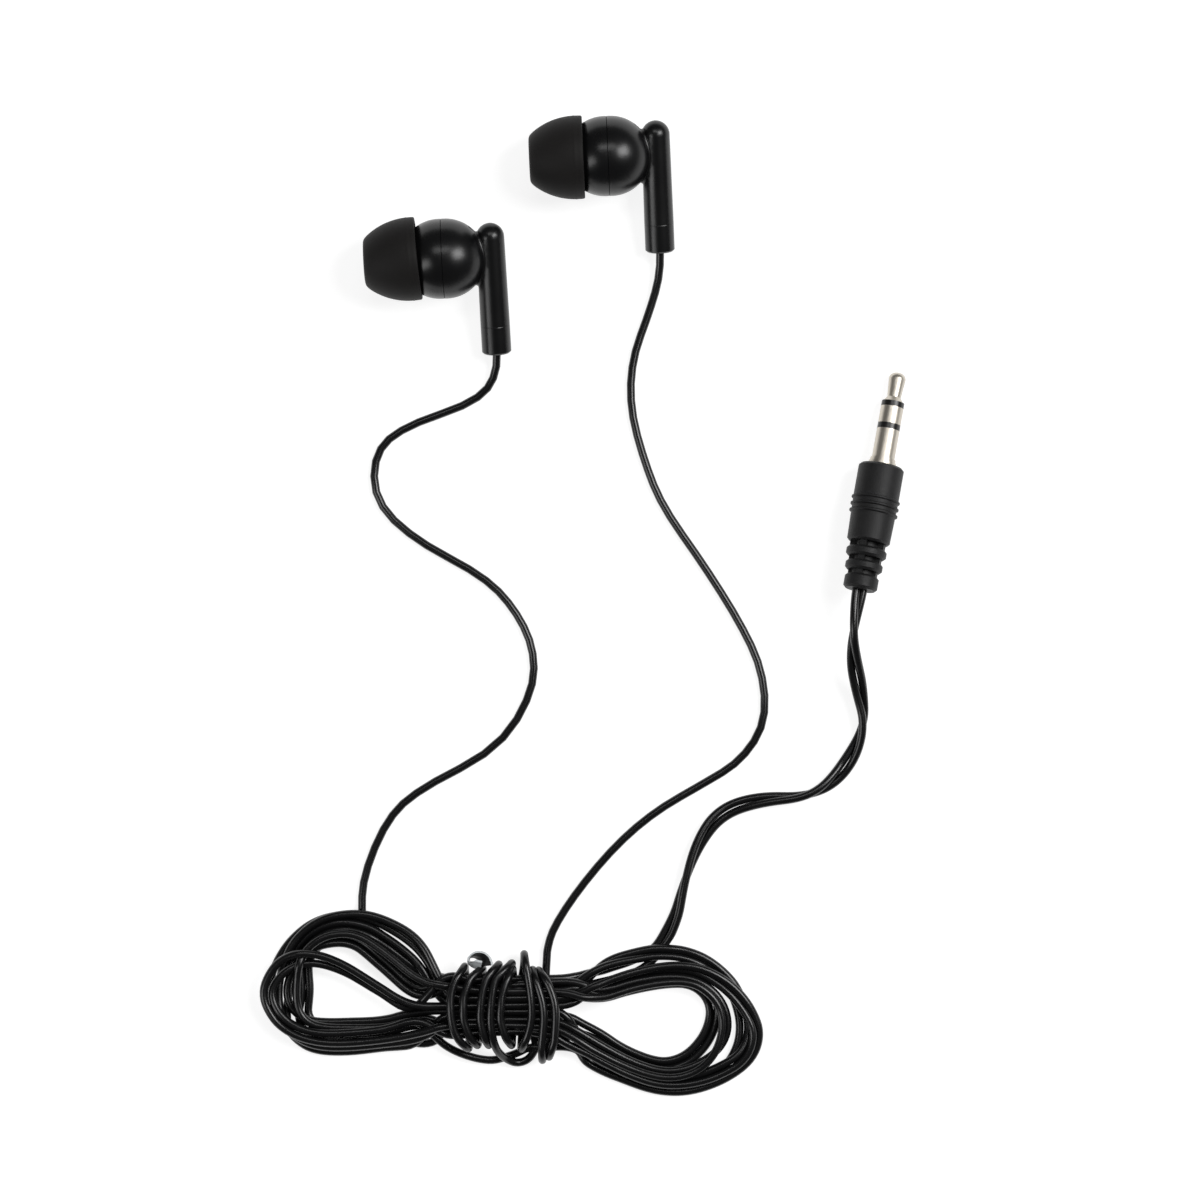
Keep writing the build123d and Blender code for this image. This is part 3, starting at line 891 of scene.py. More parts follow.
@dataclass(frozen=True)
class Turn:
    """Where one turn runs across a lobe: 0 on the inside of the bundle, 1 on its outside."""

    upper: float
    end: float
    lower: float
    across: tuple[tuple[float, float], ...] = ()  # its own way from the binding to the end


@dataclass(frozen=True)
class Lobe:
    """One lobe of the hank, as the outermost and the innermost wire that it can hold.

    Both lines run from the binding's upper corner round the end to its lower corner.
    """

    outer: tuple[tuple[float, float], ...]
    inner: tuple[tuple[float, float], ...]
    joins_at: int = 6  # the station where a turn that goes across comes back to the bundle

    def line(self, turn: Turn) -> np.ndarray:
        """The plan of one turn.

        Args:
            turn: Its places across the bundle.

        Returns:
            Points in plan, in metres.
        """
        t = np.linspace(0, 1, len(self.outer))
        first = turn.upper + (turn.end - turn.upper) * smooth_step((t - 0.2) / 0.28)
        share = first + (turn.lower - turn.end) * smooth_step((t - 0.5) / 0.26)
        outer, inner = in_metres(self.outer), in_metres(self.inner)
        line = inner + share[:, None] * (outer - inner)
        if turn.across:
            return np.vstack([in_metres(turn.across), line[self.joins_at :]])
        return line


CROSSING = ((-17.0, -117.1), (-22.0, -114.3), (-27.4, -111.1), (-32.2, -109.7), (-36.6, -110.8))
CROSSING_BESIDE = (
    (-16.2, -118.0), (-21.3, -115.6), (-26.8, -112.5), (-31.8, -111.1), (-35.6, -112.2),
)
LEFT_LOBE = Lobe(
    outer=(
        (-15.2, -108.3), (-20.2, -105.0), (-25.2, -103.9), (-30.4, -104.7), (-34.7, -107.2),
        (-37.9, -111.2), (-39.2, -115.3), (-38.4, -119.4), (-36.2, -122.6), (-32.0, -124.8),
        (-26.6, -125.2), (-20.3, -124.4), (-15.5, -123.7),
    ),
    inner=(
        (-15.4, -117.0), (-21.4, -112.2), (-25.5, -108.7), (-30.0, -108.9), (-32.6, -111.3),
        (-32.8, -113.6), (-32.8, -116.4), (-32.8, -118.4), (-31.9, -119.9), (-29.8, -120.6),
        (-26.6, -120.6), (-20.8, -120.4), (-15.8, -119.2),
    ),
)
RIGHT_LOBE = Lobe(
    outer=(
        (12.3, -111.7), (17.5, -110.0), (22.8, -109.4), (28.1, -110.9), (33.1, -114.8),
        (35.6, -119.3), (36.3, -122.6), (35.0, -126.2), (31.0, -129.0), (26.2, -130.4),
        (21.4, -130.3), (16.6, -128.8), (10.8, -126.2),
    ),
    inner=(
        (12.5, -117.0), (16.6, -116.0), (22.0, -115.0), (26.4, -115.0), (28.9, -117.2),
        (29.3, -119.4), (28.7, -121.8), (27.4, -123.9), (25.4, -125.8), (22.9, -126.8),
        (20.2, -126.6), (15.6, -124.8), (11.2, -122.0),
    ),
)

LEFT_WIRE_LEFT_TURNS = (
    Turn(0.66, 0.38, 0.95),
    Turn(0.22, 0.05, 0.3),
    Turn(1.0, 0.6, 0.75),
    Turn(0.4, 0.22, 0.12),
    Turn(0.3, 1.0, 0.62, CROSSING),
)
RIGHT_WIRE_LEFT_TURNS = (
    Turn(0.5, 0.0, 0.5),
    Turn(0.8, 0.85, 0.4),
    Turn(0.1, 0.45, 0.0),
    Turn(0.12, 0.82, 0.25, CROSSING_BESIDE),
)
LEFT_WIRE_RIGHT_TURNS = (
    Turn(0.05, 0.0, 0.0),
    Turn(1.0, 0.8, 0.62),
    Turn(0.3, 0.4, 0.3),
    Turn(0.55, 1.0, 1.0),
    Turn(0.2, 0.3, 0.5),
)
RIGHT_WIRE_RIGHT_TURNS = (
    Turn(0.35, 0.1, 0.14),
    Turn(0.88, 0.7, 0.88),
    Turn(0.45, 0.92, 0.8),
)


@dataclass(frozen=True)
class Waist:
    """The stretch of the hank under the binding."""

    left: float = -10.9 * MM
    right: float = 6.3 * MM
    upper: tuple[float, float] = (-114.0 * MM, -117.5 * MM)
    lower: tuple[float, float] = (-118.7 * MM, -122.4 * MM)
    slack: tuple[tuple[float, float], ...] = (
        (8.6, -123.7), (3.6, -123.6), (1.0, -124.2), (-1.4, -125.3), (-4.2, -125.9),
        (-7.6, -125.2), (-11.0, -123.6),
    )

    def upper_lane(self, share: float) -> np.ndarray:
        """A lane from left to right across the waist.

        Args:
            share: 0 at the waist's outer edge and 1 at its middle.

        Returns:
            Points in plan, in metres.
        """
        y = self.upper[0] + share * (self.upper[1] - self.upper[0])
        fan = 1.2 * MM * (1 - share)
        return np.array(
            [(self.left, y + fan), (self.left * 0.5, y), (self.right * 0.3, y), (self.right, y)]
        )

    def lower_lane(self, share: float) -> np.ndarray:
        """A lane from right to left across the waist.

        Args:
            share: 0 at the waist's middle and 1 at its outer edge.

        Returns:
            Points in plan, in metres.
        """
        y = self.lower[0] + share * (self.lower[1] - self.lower[0])
        right, left = y - 1.2 * MM * share, y - 0.4 * MM * share
        return np.array(
            [(self.right, right), (self.right * 0.3, y), (self.left * 0.5, y), (self.left, left)]
        )


@dataclass(frozen=True)
class Wrap:
    """One turn of the binding: its line over the bundle, near side to far side, in millimetres.

    Its first and last Y are how far out its sides hang.  A slack turn has a loop at its near
    side instead, which lies on the table before it rises.
    """

    over: tuple[tuple[float, float], ...]
    loop: tuple[Point, ...] = ()

    @property
    def near(self) -> tuple[float, float]:
        """X and Y of its near side, in metres."""
        return self.over[0][0] * MM, self.over[0][1] * MM

    @property
    def far(self) -> tuple[float, float]:
        """X and Y of its far side, in metres."""
        return self.over[-1][0] * MM, self.over[-1][1] * MM


WRAPS = (
    Wrap(((4.5, -125.6), (5.3, -123.2), (5.6, -119.5), (5.3, -116.2), (4.2, -113.8), (2.9, -112.3))),
    Wrap(((3.5, -126.1), (3.4, -123.4), (3.8, -119.6), (3.5, -116.8), (2.7, -114.2), (2.0, -112.2))),
    Wrap(((0.2, -124.4), (1.2, -122.4), (1.9, -119.2), (1.8, -116.2), (1.3, -113.2), (0.7, -109.8))),
    Wrap(((-1.2, -123.8), (-2.2, -122.3), (-2.9, -119.6), (-2.8, -116.6), (-2.1, -114.2), (-1.1, -112.0))),
    Wrap(
        ((-3.3, -124.4), (-4.0, -122.4), (-4.4, -120.0), (-4.3, -116.6), (-3.6, -113.3), (-1.2, -111.2)),
        (
            (2.3, -123.3, 0.635), (2.2, -124.9, 0.635), (1.1, -126.3, 0.635), (-0.6, -126.7, 0.9),
            (-2.2, -125.9, 1.9), (-3.3, -124.7, 3.6), (-3.9, -123.2, 5.0), (-4.2, -121.7, 5.6),
        ),
    ),
    Wrap(((-4.7, -123.8), (-5.5, -122.1), (-6.0, -119.3), (-5.8, -116.2), (-5.0, -113.2), (-3.2, -111.4))),
    Wrap(((-6.4, -123.8), (-7.7, -122.3), (-8.6, -119.4), (-8.5, -116.0), (-7.4, -113.3), (-5.7, -112.0))),
    Wrap(((-7.8, -124.3), (-9.6, -122.5), (-10.5, -119.2), (-10.5, -116.2), (-9.9, -113.8), (-8.4, -111.7))),
)


@dataclass
class Binding:
    """The turns of one wire round the hank's waist."""

    radius: float = 2.5 * MM  # of the half circles at the sides
    low: float = REST
    step: float = 0.8 * MM
    crown: float = 0.3 * MM  # how much higher the middle of a turn is
    corner: tuple[int, ...] = (0, 30, 60, 90)  # degrees along a quarter circle

    def path(self, arrives: np.ndarray, leaves: np.ndarray) -> np.ndarray:
        """The wire's line through all the turns.

        Args:
            arrives: Where the wire comes from.
            leaves: Where it goes to.

        Returns:
            Points, a step apart.
        """
        points: list[tuple[float, float, float]] = [tuple(arrives)]
        far_x, far_y = arrives[0] - 0.3 * MM, WRAPS[0].far[1]
        for wrap in WRAPS:
            over = self._over(wrap)
            if wrap.loop:
                loop = [tuple(p) for p in in_metres(wrap.loop)]
                under = self._under(far_x, far_y, loop[0][0], loop[0][1] - 2 * MM, lift=WIRE)
                points += under[: -len(self.corner) + 1] + loop + over[len(self.corner) :]
            else:
                points += self._under(far_x, far_y, *wrap.near, first=wrap is WRAPS[0]) + over
            far_x, far_y = wrap.far
        points += self._under(far_x, far_y, leaves[0] + 2.2 * MM, leaves[1] - 1.0 * MM)[:-4]
        points.append(tuple(leaves))
        return eased(np.array(points), self.step)

    def _quarter(
        self, edge: float, inward: int, up: int, angles: Sequence[int]
    ) -> list[tuple[float, float]]:
        """Points on a quarter circle at one side of the bundle.

        Args:
            edge: How far out the side hangs.
            inward: 1 where the bundle lies towards +Y of the edge, -1 where towards -Y.
            up: 1 for the upper quarter, -1 for the lower.
            angles: Degrees from the edge towards the bundle.

        Returns:
            Y and Z of each point.
        """
        rows = []
        for angle in angles:
            turn = math.radians(angle)
            y = edge + inward * (self.radius * (1 - math.cos(turn)))
            rows.append((y, self.low + self.radius + up * (self.radius * math.sin(turn))))
        return rows

    def _under(
        self,
        far_x: float,
        far_y: float,
        near_x: float,
        near_y: float,
        first: bool = False,
        lift: float = 0.0,
    ) -> list[tuple[float, float, float]]:
        """The stretch beneath the bundle, from far side to near side.

        Args:
            far_x: X where it leaves the far side.
            far_y: How far out the far side hangs.
            near_x: X where it rises at the near side.
            near_y: How far out the near side hangs.
            first: Whether the wire is already on the table.
            lift: How high it passes over the turn before it.

        Returns:
            Its points.
        """
        rows = self._quarter(far_y, -1, -1, self.corner[1:])
        if first:
            rows = rows[-1:]
        rows.append(((far_y + near_y) / 2, self.low + lift))
        rows += self._quarter(near_y, 1, -1, self.corner[::-1][:-1])
        points = []
        for y, z in rows:
            share = float(smooth_step(np.array((far_y - y) / (far_y - near_y))))
            points.append((far_x + share * (near_x - far_x), y, z))
        return points

    def _over(self, wrap: Wrap) -> list[tuple[float, float, float]]:
        """The stretch over the bundle, from near side to far side.

        Args:
            wrap: The turn.

        Returns:
            Its points.
        """
        (_, near_y), (_, far_y) = wrap.near, wrap.far
        line = in_metres(wrap.over)
        rows = self._quarter(near_y, 1, 1, self.corner)
        for share in (0.25, 0.5, 0.75):
            y = near_y + self.radius + share * (far_y - near_y - 2 * self.radius)
            rows.append((y, self.low + 2 * self.radius + self.crown * math.sin(math.pi * share)))
        rows += self._quarter(far_y, -1, 1, self.corner[::-1])
        return [(float(np.interp(y, line[:, 1], line[:, 0])), y, z) for y, z in rows]


@dataclass
class Settling:
    """Lets wires drop onto the table and each other, the same way each time.

    Each wire is a chain of points.  A point is drawn to its planned place in plan, falls a
    little each step, is pushed off the other wires and keeps the chain smooth.  The pushes
    don't clear every crossing, so some wires still run into each other.
    """

    plans: list[np.ndarray]
    pins: list[np.ndarray]
    loose: list[np.ndarray]  # points that the binding doesn't hold
    fixed: list[np.ndarray]  # wires that stay where they are
    waist: Waist
    steps: int = 900
    quick_steps: int = 300
    look_every: int = 10  # steps between two looks for touching points
    pushes: int = 2  # to a step
    fall: float = 0.03 * MM
    fall_fade: float = 0.6  # share of the fall that is gone at the end
    pull: float = 0.12
    pull_fade: float = 0.94
    ease: float = 0.45
    broad: int = 4  # points each way that the broad smoothing reaches
    neighbours: int = 3
    spacing: float = 1.0 * MM
    touch: float = 0.96 * WIRE  # soft jackets press into each other a little
    lift: float = 1.25 * MM  # the binding's turns lie beneath the waist
    ceiling: float = 4.45 * MM
    wall: tuple[float, float] = (-122.2 * MM, -113.7 * MM)

    def floor(self, x: np.ndarray, held: np.ndarray) -> np.ndarray:
        """The lowest that a wire's middle can be.

        Args:
            x: Where the points are.
            held: Which of them go through the binding.

        Returns:
            A height for each point.
        """
        near = np.maximum(self.waist.left - x, x - self.waist.right)
        ramp = 1 - smooth_step((near + 0.3 * MM) / (5.5 * MM))
        return REST + self.lift * ramp * held

    def run(self) -> list[np.ndarray]:
        """Runs the steps.

        Returns:
            The settled chains.
        """
        chains = [*self.plans, *self.fixed]
        plan = np.concatenate(chains)
        still = sum(len(p) for p in self.fixed)
        pinned = np.concatenate([*self.pins, np.ones(still, bool)])
        held = ~np.concatenate([*self.loose, np.ones(still, bool)])
        chain = np.concatenate([np.full(len(p), i) for i, p in enumerate(chains)])
        order = np.concatenate([np.arange(len(p)) for p in chains])
        inner = np.ones(len(plan), bool)
        inner[np.flatnonzero(np.diff(chain, prepend=-1))] = False
        inner[np.flatnonzero(np.diff(chain, append=-1))] = False
        inner_at = np.flatnonzero(inner)
        wide = self.broad
        run = np.convolve(~inner, np.ones(2 * wide + 1), mode="same")
        broad_at = np.flatnonzero(run[wide:-wide] == 0) + wide
        x = plan.copy()
        first, second = np.zeros(0, int), np.zeros(0, int)
        steps = self.steps
        for step in range(steps):
            if step % self.look_every == 0:
                first, second = self._pairs(x, chain, order)
            late = smooth_step(np.array(step / steps / 0.9 - 0.05))
            x[:, 2] -= self.fall * (1 - self.fall_fade * late)
            x[:, :2] += self.pull * (1 - self.pull_fade * late) * (plan[:, :2] - x[:, :2])
            shift = x - plan
            shift[:, 2] = x[:, 2]
            flow = 0.5 * (shift[inner_at - 1] + shift[inner_at + 1]) - shift[inner_at]
            x[inner_at] += self.ease * flow
            reach = 0.5 * (shift[broad_at - wide] + shift[broad_at + wide]) - shift[broad_at]
            x[broad_at] += 0.5 * self.ease * reach
            for _ in range(self.pushes):
                self._part(x, first, second)
            low = self.floor(x[:, 0], held)
            x[:, 2] = np.maximum(x[:, 2], low)
            inside = held & (x[:, 0] > self.waist.left + MM) & (x[:, 0] < self.waist.right - MM)
            x[inside, 1] = np.clip(x[inside, 1], *self.wall)
            x[inside, 2] = np.minimum(x[inside, 2], self.ceiling)
            x[pinned] = plan[pinned]
        splits = np.cumsum([len(p) for p in self.plans])
        return np.split(x, splits)[: len(self.plans)]

    def _pairs(
        self, x: np.ndarray, chain: np.ndarray, order: np.ndarray
    ) -> tuple[np.ndarray, np.ndarray]:
        """Finds points that may come to touch before the next look.

        Args:
            x: Where the points are.
            chain: Which chain each is in.
            order: Its number along the chain.

        Returns:
            The first and the second point of each pair, both ways round.
        """
        near = WIRE * 1.5
        single = x.astype(np.float32) / MM
        square = (single * single).sum(1)
        apart = square[:, None] + square[None, :] - 2 * single @ single.T
        first, second = np.nonzero(apart < (near / MM) ** 2)
        other = (chain[first] != chain[second]) | (
            np.abs(order[first] - order[second]) > self.neighbours
        )
        return first[other], second[other]

    def _part(self, x: np.ndarray, first: np.ndarray, second: np.ndarray) -> None:
        """Moves points sideways off the wires that they press into.

        Args:
            x: Where the points are; changed in place.
            first: The points to move.
            second: The point that each is near to.
        """
        ahead = np.gradient(x, axis=0)
        ahead /= np.maximum(np.linalg.norm(ahead, axis=1), 1e-9)[:, None]
        between = x[first] - x[second]
        along = (between * ahead[second]).sum(1)
        aside = between - along[:, None] * ahead[second]
        gap = np.linalg.norm(aside, axis=1)
        near = (gap < self.touch) & (np.abs(along) < 0.75 * self.spacing)
        i, j, aside, gap = first[near], second[near], aside[near], np.maximum(gap[near], 1e-6)
        push = (0.5 * (self.touch - gap) / gap)[:, None] * aside
        push -= (push * ahead[i]).sum(1)[:, None] * ahead[i]
        count = np.maximum(1.0, 0.7 * np.bincount(i, minlength=len(x)))
        for k in range(3):
            x[:, k] += np.bincount(i, push[:, k], minlength=len(x)) / count


@dataclass
class TwistedLead:
    """The two wires loosely twisted together on their way to the plug."""

    route: np.ndarray = field(default_factory=lambda: in_metres(LEAD_ROUTE))
    crossings: tuple[tuple[float, float], ...] = (
        (51.3, -60.6), (52.5, -75.0), (44.6, -85.5), (25.7, -98.4),
    )
    half_gap: float = 0.64 * MM
    open_gap: float = 0.66 * MM  # midway between two crossings
    step: float = 1.3 * MM
    cut: float = 2.6 * MM  # length left to the hank's own turns
    inside: float = 1.5 * MM  # how far the wires reach into the plug's relief

    def strands(self) -> tuple[np.ndarray, np.ndarray]:
        """The two wires' lines from the hank to the plug.

        Returns:
            Points of each strand.
        """
        line = spaced(read_line(self.route), 0.25 * MM)
        run = np.concatenate([[0], np.cumsum(np.linalg.norm(np.diff(line, axis=0), axis=1))])
        places = [
            run[np.argmin(np.linalg.norm(line[:, :2] - in_metres(c), axis=1))]
            for c in self.crossings
        ]
        quarter = math.pi / 2
        turns = [quarter + math.pi * i for i in range(len(places))]
        run_in = [0.0, *places, run[-1]]
        phase_in = [0.12 * math.pi, *turns, turns[-1] + 0.42 * math.pi]
        phase = np.interp(run, run_in, phase_in)
        kernel = np.ones(17) / 17
        phase = np.convolve(np.pad(phase, 8, mode="edge"), kernel, mode="valid")
        ahead = np.gradient(line, axis=0)
        ahead /= np.linalg.norm(ahead, axis=1)[:, None]
        side = np.cross(ahead, (0, 0, 1))
        side /= np.linalg.norm(side, axis=1)[:, None]
        over = np.cross(side, ahead)
        near_plug = smooth_step((run - 2 * MM) / (9 * MM))
        wide = self.half_gap + (self.open_gap - self.half_gap) * near_plug * np.abs(np.cos(phase))
        on_table = smooth_step((3.2 * MM - line[:, 2]) / (1.6 * MM))
        sunk = REST * (1 - np.abs(np.sin(phase))) * on_table
        strands = []
        for sign in (-1, 1):
            strand = line + side * (sign * wide * np.cos(phase))[:, None]
            strand = strand + over * (sign * self.half_gap * np.sin(phase))[:, None]
            strand[:, 2] -= sunk
            strand[:, 2] = np.maximum(strand[:, 2], REST)
            kept = strand[run < run[-1] - self.cut]
            first = kept[0] - ahead[0] * self.inside
            strands.append(spaced(np.vstack([first, kept]), self.step)[::-1])
        return strands[0], strands[1]


@dataclass
class Wires:
    """Both wires, each one open spline from its stem through the hank to the plug."""

    waist: Waist = field(default_factory=Waist)
    binding: Binding = field(default_factory=Binding)
    lead: TwistedLead = field(default_factory=TwistedLead)
    chain_step: float = 1.0 * MM
    keep_every: int = 2
    drop: float = 1.0 * MM  # how much higher each later turn starts
    pinned_first: int = 5  # points at a chain's start that stay in place
    pinned_last: int = 3
    binding_start: Point = (4.2, -109.4, 0.635)
    binding_end: Point = (-12.6, -123.3, 0.635)

    def lay_out(self) -> tuple[np.ndarray, np.ndarray]:
        """Works out the control points of both wires.

        Returns:
            The left wire's points and the right wire's.
        """
        left_strand, right_strand = self.lead.strands()
        left_route, right_route = in_metres(LEFT_ROUTE), in_metres(RIGHT_ROUTE)
        wrap_end = in_metres(self.binding_end)
        wraps = self.binding.path(in_metres(self.binding_start), wrap_end)
        left_plan = self._left_plan(left_route[-1], left_strand[0])
        right_plan = self._right_plan(wrap_end, right_strand[0])
        plans, pins, loose = [], [], []
        for line, slack in (left_plan, right_plan):
            plans.append(line)
            pin = np.zeros(len(line), bool)
            pin[: self.pinned_first] = True
            pin[-self.pinned_last :] = True
            pins.append(pin)
            loose.append(slack)
        runs = (left_route, right_route)
        ends = [spaced(read_line(route), self.chain_step)[-9:-1] for route in runs]
        leads = [spaced(strand[1:14], self.chain_step) for strand in (left_strand, right_strand)]
        binding = [spaced(wraps[1:-3], self.chain_step)]
        settling = Settling(plans, pins, loose, ends + leads + binding, self.waist)
        left_chain, right_chain = settling.run()
        left = np.vstack([left_route[:-1], left_chain[:: self.keep_every], left_strand[1:]])
        right = np.vstack(
            [right_route, wraps[:-2], right_chain[:: self.keep_every], right_strand[1:]]
        )
        return left, right

    def _left_plan(self, start: np.ndarray, end: np.ndarray) -> tuple[np.ndarray, np.ndarray]:
        """The left wire's plan in the hank.

        Args:
            start: Where its free run ends.
            end: Where the twisted lead begins.

        Returns:
            The chain's points, and which of them the binding doesn't hold.
        """
        entry = in_metres([(-23.6, -107.2), (-21.6, -110.0), (-18.4, -113.0), (-14.6, -115.4)])
        parts = [(start[None, :2], 0), (entry, 0), (self.waist.upper_lane(0.55), 0)]
        uppers = (0.9, 0.1, 0.65, 0.35, 1.0)
        lowers = (0.15, 0.7, 0.35, None, 0.5)
        pairs = zip(LEFT_WIRE_RIGHT_TURNS, LEFT_WIRE_LEFT_TURNS, uppers, lowers)
        for level, (right, left, upper, lower) in enumerate(pairs):
            height = 2 * level + 1
            parts.append((RIGHT_LOBE.line(right), height))
            if lower is None:
                parts.append((in_metres(self.waist.slack), -1))
            else:
                parts.append((self.waist.lower_lane(lower), height))
            parts.append((LEFT_LOBE.line(left)[::-1], height))
            parts.append((self.waist.upper_lane(upper), height))
        exits = in_metres([(10.8, -114.9), (15.2, -113.6), (18.6, -112.1), (20.8, -110.4)])
        parts += [(exits, 0), (end[None, :2], 0)]
        return self._join(parts, start[2], end[2])

    def _right_plan(self, start: np.ndarray, end: np.ndarray) -> tuple[np.ndarray, np.ndarray]:
        """The right wire's plan in the hank.

        Args:
            start: Where the binding's last turn ends.
            end: Where the twisted lead begins.

        Returns:
            The chain's points, and which of them the binding doesn't hold.
        """
        entry = in_metres([(-15.4, -123.9)])
        parts = [(start[None, :2], 0), (entry, 0)]
        uppers = (0.2, 0.8, 0.45, 0.0)
        lowers = (0.85, 0.0, 1.0)
        for level, left in enumerate(RIGHT_WIRE_LEFT_TURNS):
            height = 2 * level
            lobe = LEFT_LOBE.line(left)[::-1]
            parts.append((lobe[1:] if level == 0 else lobe, height))
            parts.append((self.waist.upper_lane(uppers[level]), height))
            if level < len(RIGHT_WIRE_RIGHT_TURNS):
                parts.append((RIGHT_LOBE.line(RIGHT_WIRE_RIGHT_TURNS[level]), height))
                parts.append((self.waist.lower_lane(lowers[level]), height))
        exits = in_metres([(10.6, -113.2), (14.8, -112.0), (18.0, -110.8), (20.6, -109.2)])
        parts += [(exits, 0), (end[None, :2], 0)]
        return self._join(parts, start[2], end[2])

    def _join(
        self, parts: Sequence[tuple[np.ndarray, int]], first: float, last: float
    ) -> tuple[np.ndarray, np.ndarray]:
        """Joins the parts of a plan into one chain.

        Args:
            parts: Points in plan with the turn's level, or -1 on the slack stretch.
            first: The height that the chain starts at.
            last: The height that it ends at.

        Returns:
            The chain's points, and which of them the binding doesn't hold.
        """
        rows = []
        for points, level in parts:
            height = REST + max(level, 0) * self.drop
            for x, y in points:
                rows.append((x, y, height, float(level < 0)))
        rows[0] = (*rows[0][:2], first, 0.0)
        rows[-1] = (*rows[-1][:2], last, 0.0)
        line = eased(np.array(rows), self.chain_step)
        return line[:, :3].copy(), line[:, 3] > 0.3

    def make(self, plug: Sequence[bpy.types.Object]) -> None:
        """Makes both wires as cords.

        Args:
            plug: The pieces on their far end; not used.
        """
        left, right = self.lay_out()
        declared = (
            ("left_wire", left, LEFT_ROUTE[0], ("left_cord_run", "cord_hank")),
            ("right_wire", right, RIGHT_ROUTE[0], ("right_cord_run", "plug_lead", "binding_wraps")),
        )
        for name, points, start, stands_for in declared:
            wire = nurbs(name, points, WIRE / 2)
            dress(wire, JACKET.material(tag=f"_{name}"))
            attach(wire, "root")
            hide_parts(*stands_for)
            length = float(np.linalg.norm(np.diff(read_line(points, 4), axis=0), axis=1).sum())
            LOG.info("%s is %.3f m long in %d points", name, length, len(points))


# ------------------------------------------------------------------ tie
@dataclass
class TwistTie:
    """The curled end of a flat plastic tie: white outside, black inside."""

    width: float = 2.2 * MM
    thick: float = 0.3 * MM
    lean: tuple[float, float] = (-0.6, 0.75)  # how far its top edge leans out, at both ends

    def make(self) -> bpy.types.Object:
        """Makes the strip where the CAD tie is.

        Returns:
            The strip.
        """
        centre = middle("twist_tie")
        plan = in_metres(
            [(0.6, -1.35), (-0.4, -1.1), (-1.15, -0.6), (-1.45, 0.05), (-1.15, 0.65), (-0.35, 0.75),
             (0.4, 0.4), (0.85, -0.15), (1.0, -0.75)]
        )
        line = eased(plan, 0.12 * MM)
        ahead = np.gradient(line, axis=0)
        ahead /= np.linalg.norm(ahead, axis=1)[:, None]
        inward = np.stack([ahead[:, 1], -ahead[:, 0]], axis=1)
        along = smooth_step(np.linspace(-0.25, 1.15, len(line)))[:, None]
        lean = self.lean[0] + along * (self.lean[1] - self.lean[0])
        rows = []
        across = np.linspace(-0.5, 0.5, 9)
        for face in (0.0, 1.0):
            for share in across if face == 0.0 else across[::-1]:
                ridge = 0.1 * MM * math.exp(-((share / 0.14) ** 2))
                offset = face * self.thick + (ridge if face else -ridge)
                flat = line + inward * offset - inward * (lean * (share + 0.5) * self.width)
                height = np.full(len(line), centre.z + share * self.width)
                rows.append(np.column_stack([flat + np.array(centre.xy), height]))
        count, length = len(rows), len(line)
        points = np.concatenate(rows)
        faces = [
            (i * length + j, i * length + j + 1, (i + 1) % count * length + j + 1,
             (i + 1) % count * length + j)
            for i in range(count)
            for j in range(length - 1)
        ]
        faces.append(tuple(i * length for i in range(count)))
        faces.append(tuple(i * length + length - 1 for i in range(count))[::-1])
        tie = mesh_object("curled_tie", points, faces)
        dress(tie, TIE_WHITE.material())
        tie.data.materials.append(TIE_BLACK.material())
        half = count // 2
        for number, polygon in enumerate(tie.data.polygons):
            polygon.material_index = int(half <= number // (length - 1) < count - 1)
        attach(tie, "root")
        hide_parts("twist_tie")
        return tie


# ------------------------------------------------------------------ plug
@dataclass
class Plug:
    """The stereo plug: CAD pieces with their finishes."""

    def dress(self, nodes: Mapping[str, bpy.types.Object]) -> list[bpy.types.Object]:
        """Gives each piece its finish.

        Args:
            nodes: The CAD nodes by name.

        Returns:
            The plug's pieces.
        """
        point, back = middle("plug_tip"), middle("plug_sleeve")
        axis = (back - point).normalized()
        pieces = []
        for name, finish in PLUG_FINISHES.items():
            dress(nodes[name], finish.material(point, axis, f"_{name}"))
            pieces.append(nodes[name])
        return pieces


# ------------------------------------------------------------------ studio
@dataclass
class Softbox:
    """One soft rectangular light aimed at the middle of the picture."""

    name: str
    azimuth: float  # degrees anticlockwise from +X
    elevation: float  # degrees above the table
    distance: float
    size: tuple[float, float]
    watts: float

    def make(self, aim: Vector) -> None:
        """Places the light.

        Args:
            aim: What it points at.
        """
        a, e = math.radians(self.azimuth), math.radians(self.elevation)
        away = Vector((math.cos(a) * math.cos(e), math.sin(a) * math.cos(e), math.sin(e)))
        light = bpy.data.lights.new(self.name, "AREA")
        light.shape = "RECTANGLE"
        light.size, light.size_y = self.size
        light.energy = self.watts
        made = bpy.data.objects.new(self.name, light)
        made.location = aim + away * self.distance
        made.rotation_euler = away.to_track_quat("Z", "Y").to_euler()
        bpy.context.scene.collection.objects.link(made)


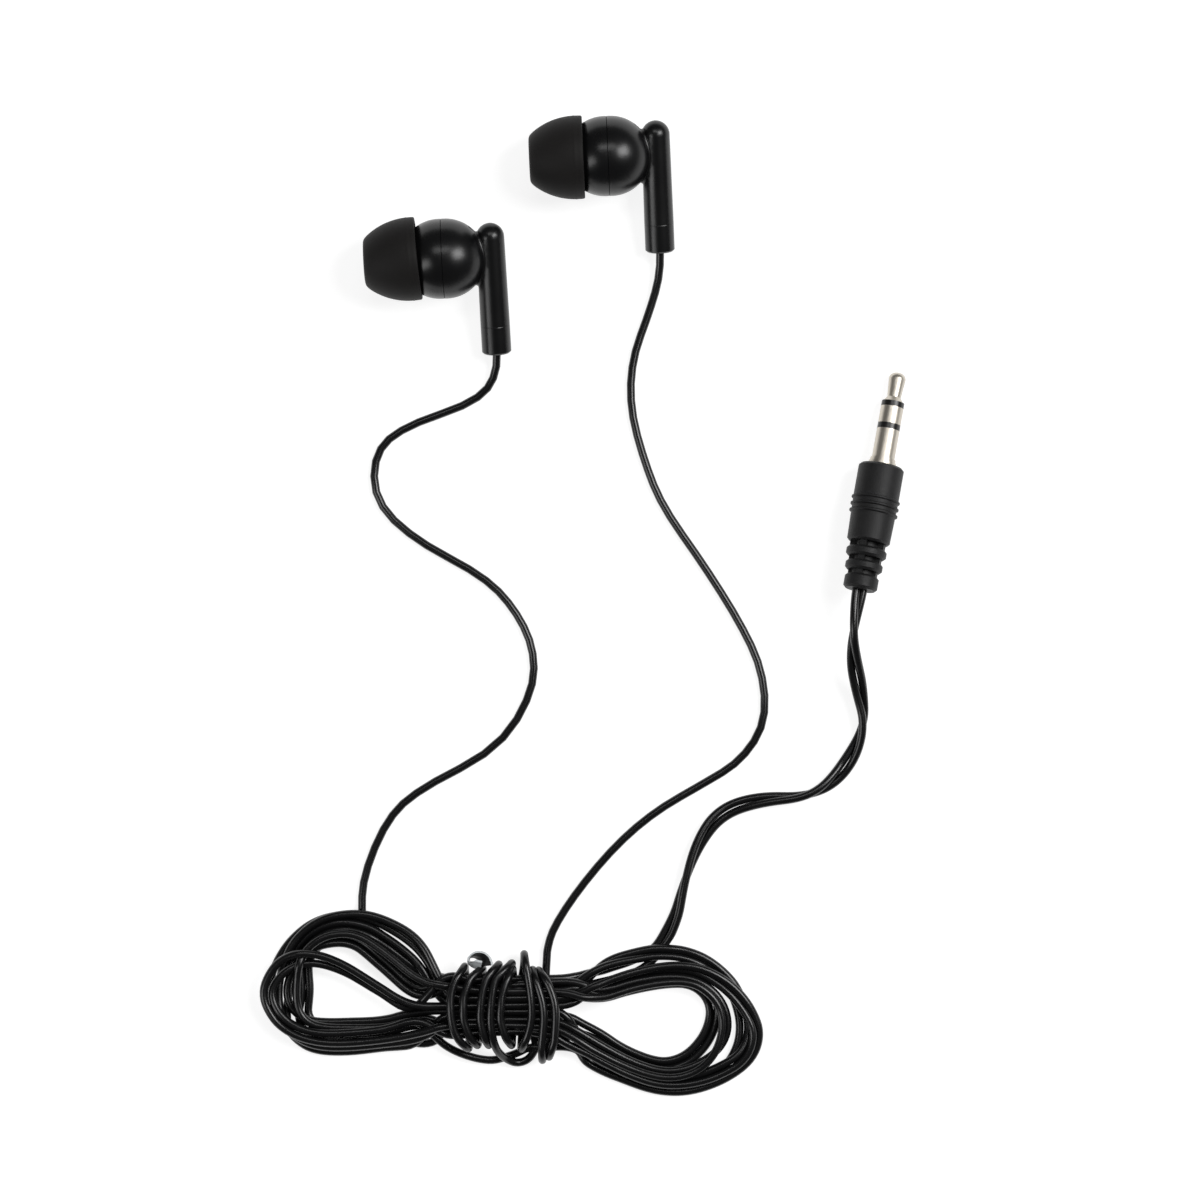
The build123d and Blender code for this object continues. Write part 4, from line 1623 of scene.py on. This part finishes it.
@dataclass
class Studio:
    """Camera, pale table and soft light."""

    aim: tuple[float, float] = (12.31 * MM, -55.62 * MM)
    field_width: float = 184.6 * MM
    lens: float = 135.0
    sensor: float = 36.0
    table_side: float = 3.0
    glow: float = 0.82
    sky: float = 0.05
    lights: tuple[Softbox, ...] = (
        Softbox("key", 22.0, 52.0, 0.9, (0.36, 0.46), 5.4),
        Softbox("fill", 200.0, 40.0, 0.9, (0.3, 0.6), 2.2),
        Softbox("top", 95.0, 66.0, 1.0, (0.5, 0.2), 1.2),
    )

    def make(self) -> None:
        """Builds the camera, the table, the lights and the sky."""
        aim = Vector((*self.aim, 0.0))
        camera = bpy.data.cameras.new("camera")
        camera.lens = self.lens
        camera.sensor_width = self.sensor
        made = bpy.data.objects.new("camera", camera)
        made.location = aim + Vector((0, 0, self.field_width * self.lens / self.sensor))
        bpy.context.scene.collection.objects.link(made)
        bpy.context.scene.camera = made
        for light in self.lights:
            light.make(aim)
        self._table()
        self._sky()
        bpy.context.scene.view_settings.view_transform = "Standard"

    def _table(self) -> None:
        """The pale floor."""
        half = self.table_side / 2
        corners = np.array([(-half, -half, 0), (half, -half, 0), (half, half, 0), (-half, half, 0)])
        table = mesh_object("table", corners, [(0, 1, 2, 3)])
        tree = ShaderTree("table_white")
        tone = tree.noise(0.2)
        colour = tree.blend(tone, (0.36, 0.36, 0.36), (0.39, 0.39, 0.39))
        material = tree.surface(
            {
                "Base Color": colour,
                "Roughness": 0.9,
                "Specular IOR Level": 0.1,
                "Emission Color": (1.0, 1.0, 1.0, 1.0),
                "Emission Strength": self.glow,
            }
        )
        dress(table, material)

    def _sky(self) -> None:
        """Even soft light from all round."""
        world = bpy.data.worlds.new("sky")
        world.use_nodes = True
        background = world.node_tree.nodes["Background"]
        background.inputs["Color"].default_value = (1.0, 1.0, 1.0, 1.0)
        background.inputs["Strength"].default_value = self.sky
        bpy.context.scene.world = world


def main() -> None:
    """Builds the earphones and the studio, and reports each piece."""
    logging.basicConfig(level=logging.INFO, format="%(name)s: %(message)s")
    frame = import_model()
    nodes = frame["nodes"]
    axes = {joint["name"]: Vector(joint["axis"]) for joint in frame["joints"]}
    for side, skew, nod in (("left", math.radians(2.8), math.radians(1.0)), ("right", 0.0, 0.0)):
        earbud = Earbud(side, axes[f"{side}_tip_pull"], skew, nod)
        earbud.dress_shells(nodes)
        tip = earbud.make_tip()
        LOG.info("%s earbud dressed, %s has %d faces", side, tip.name, len(tip.data.polygons))
    plug = Plug().dress(nodes)
    LOG.info("plug dressed in %d pieces", len(plug))
    Wires().make(plug)
    tie = TwistTie().make()
    LOG.info("%s has %d faces", tie.name, len(tie.data.polygons))
    Studio().make()


if __name__ == "__main__":
    main()
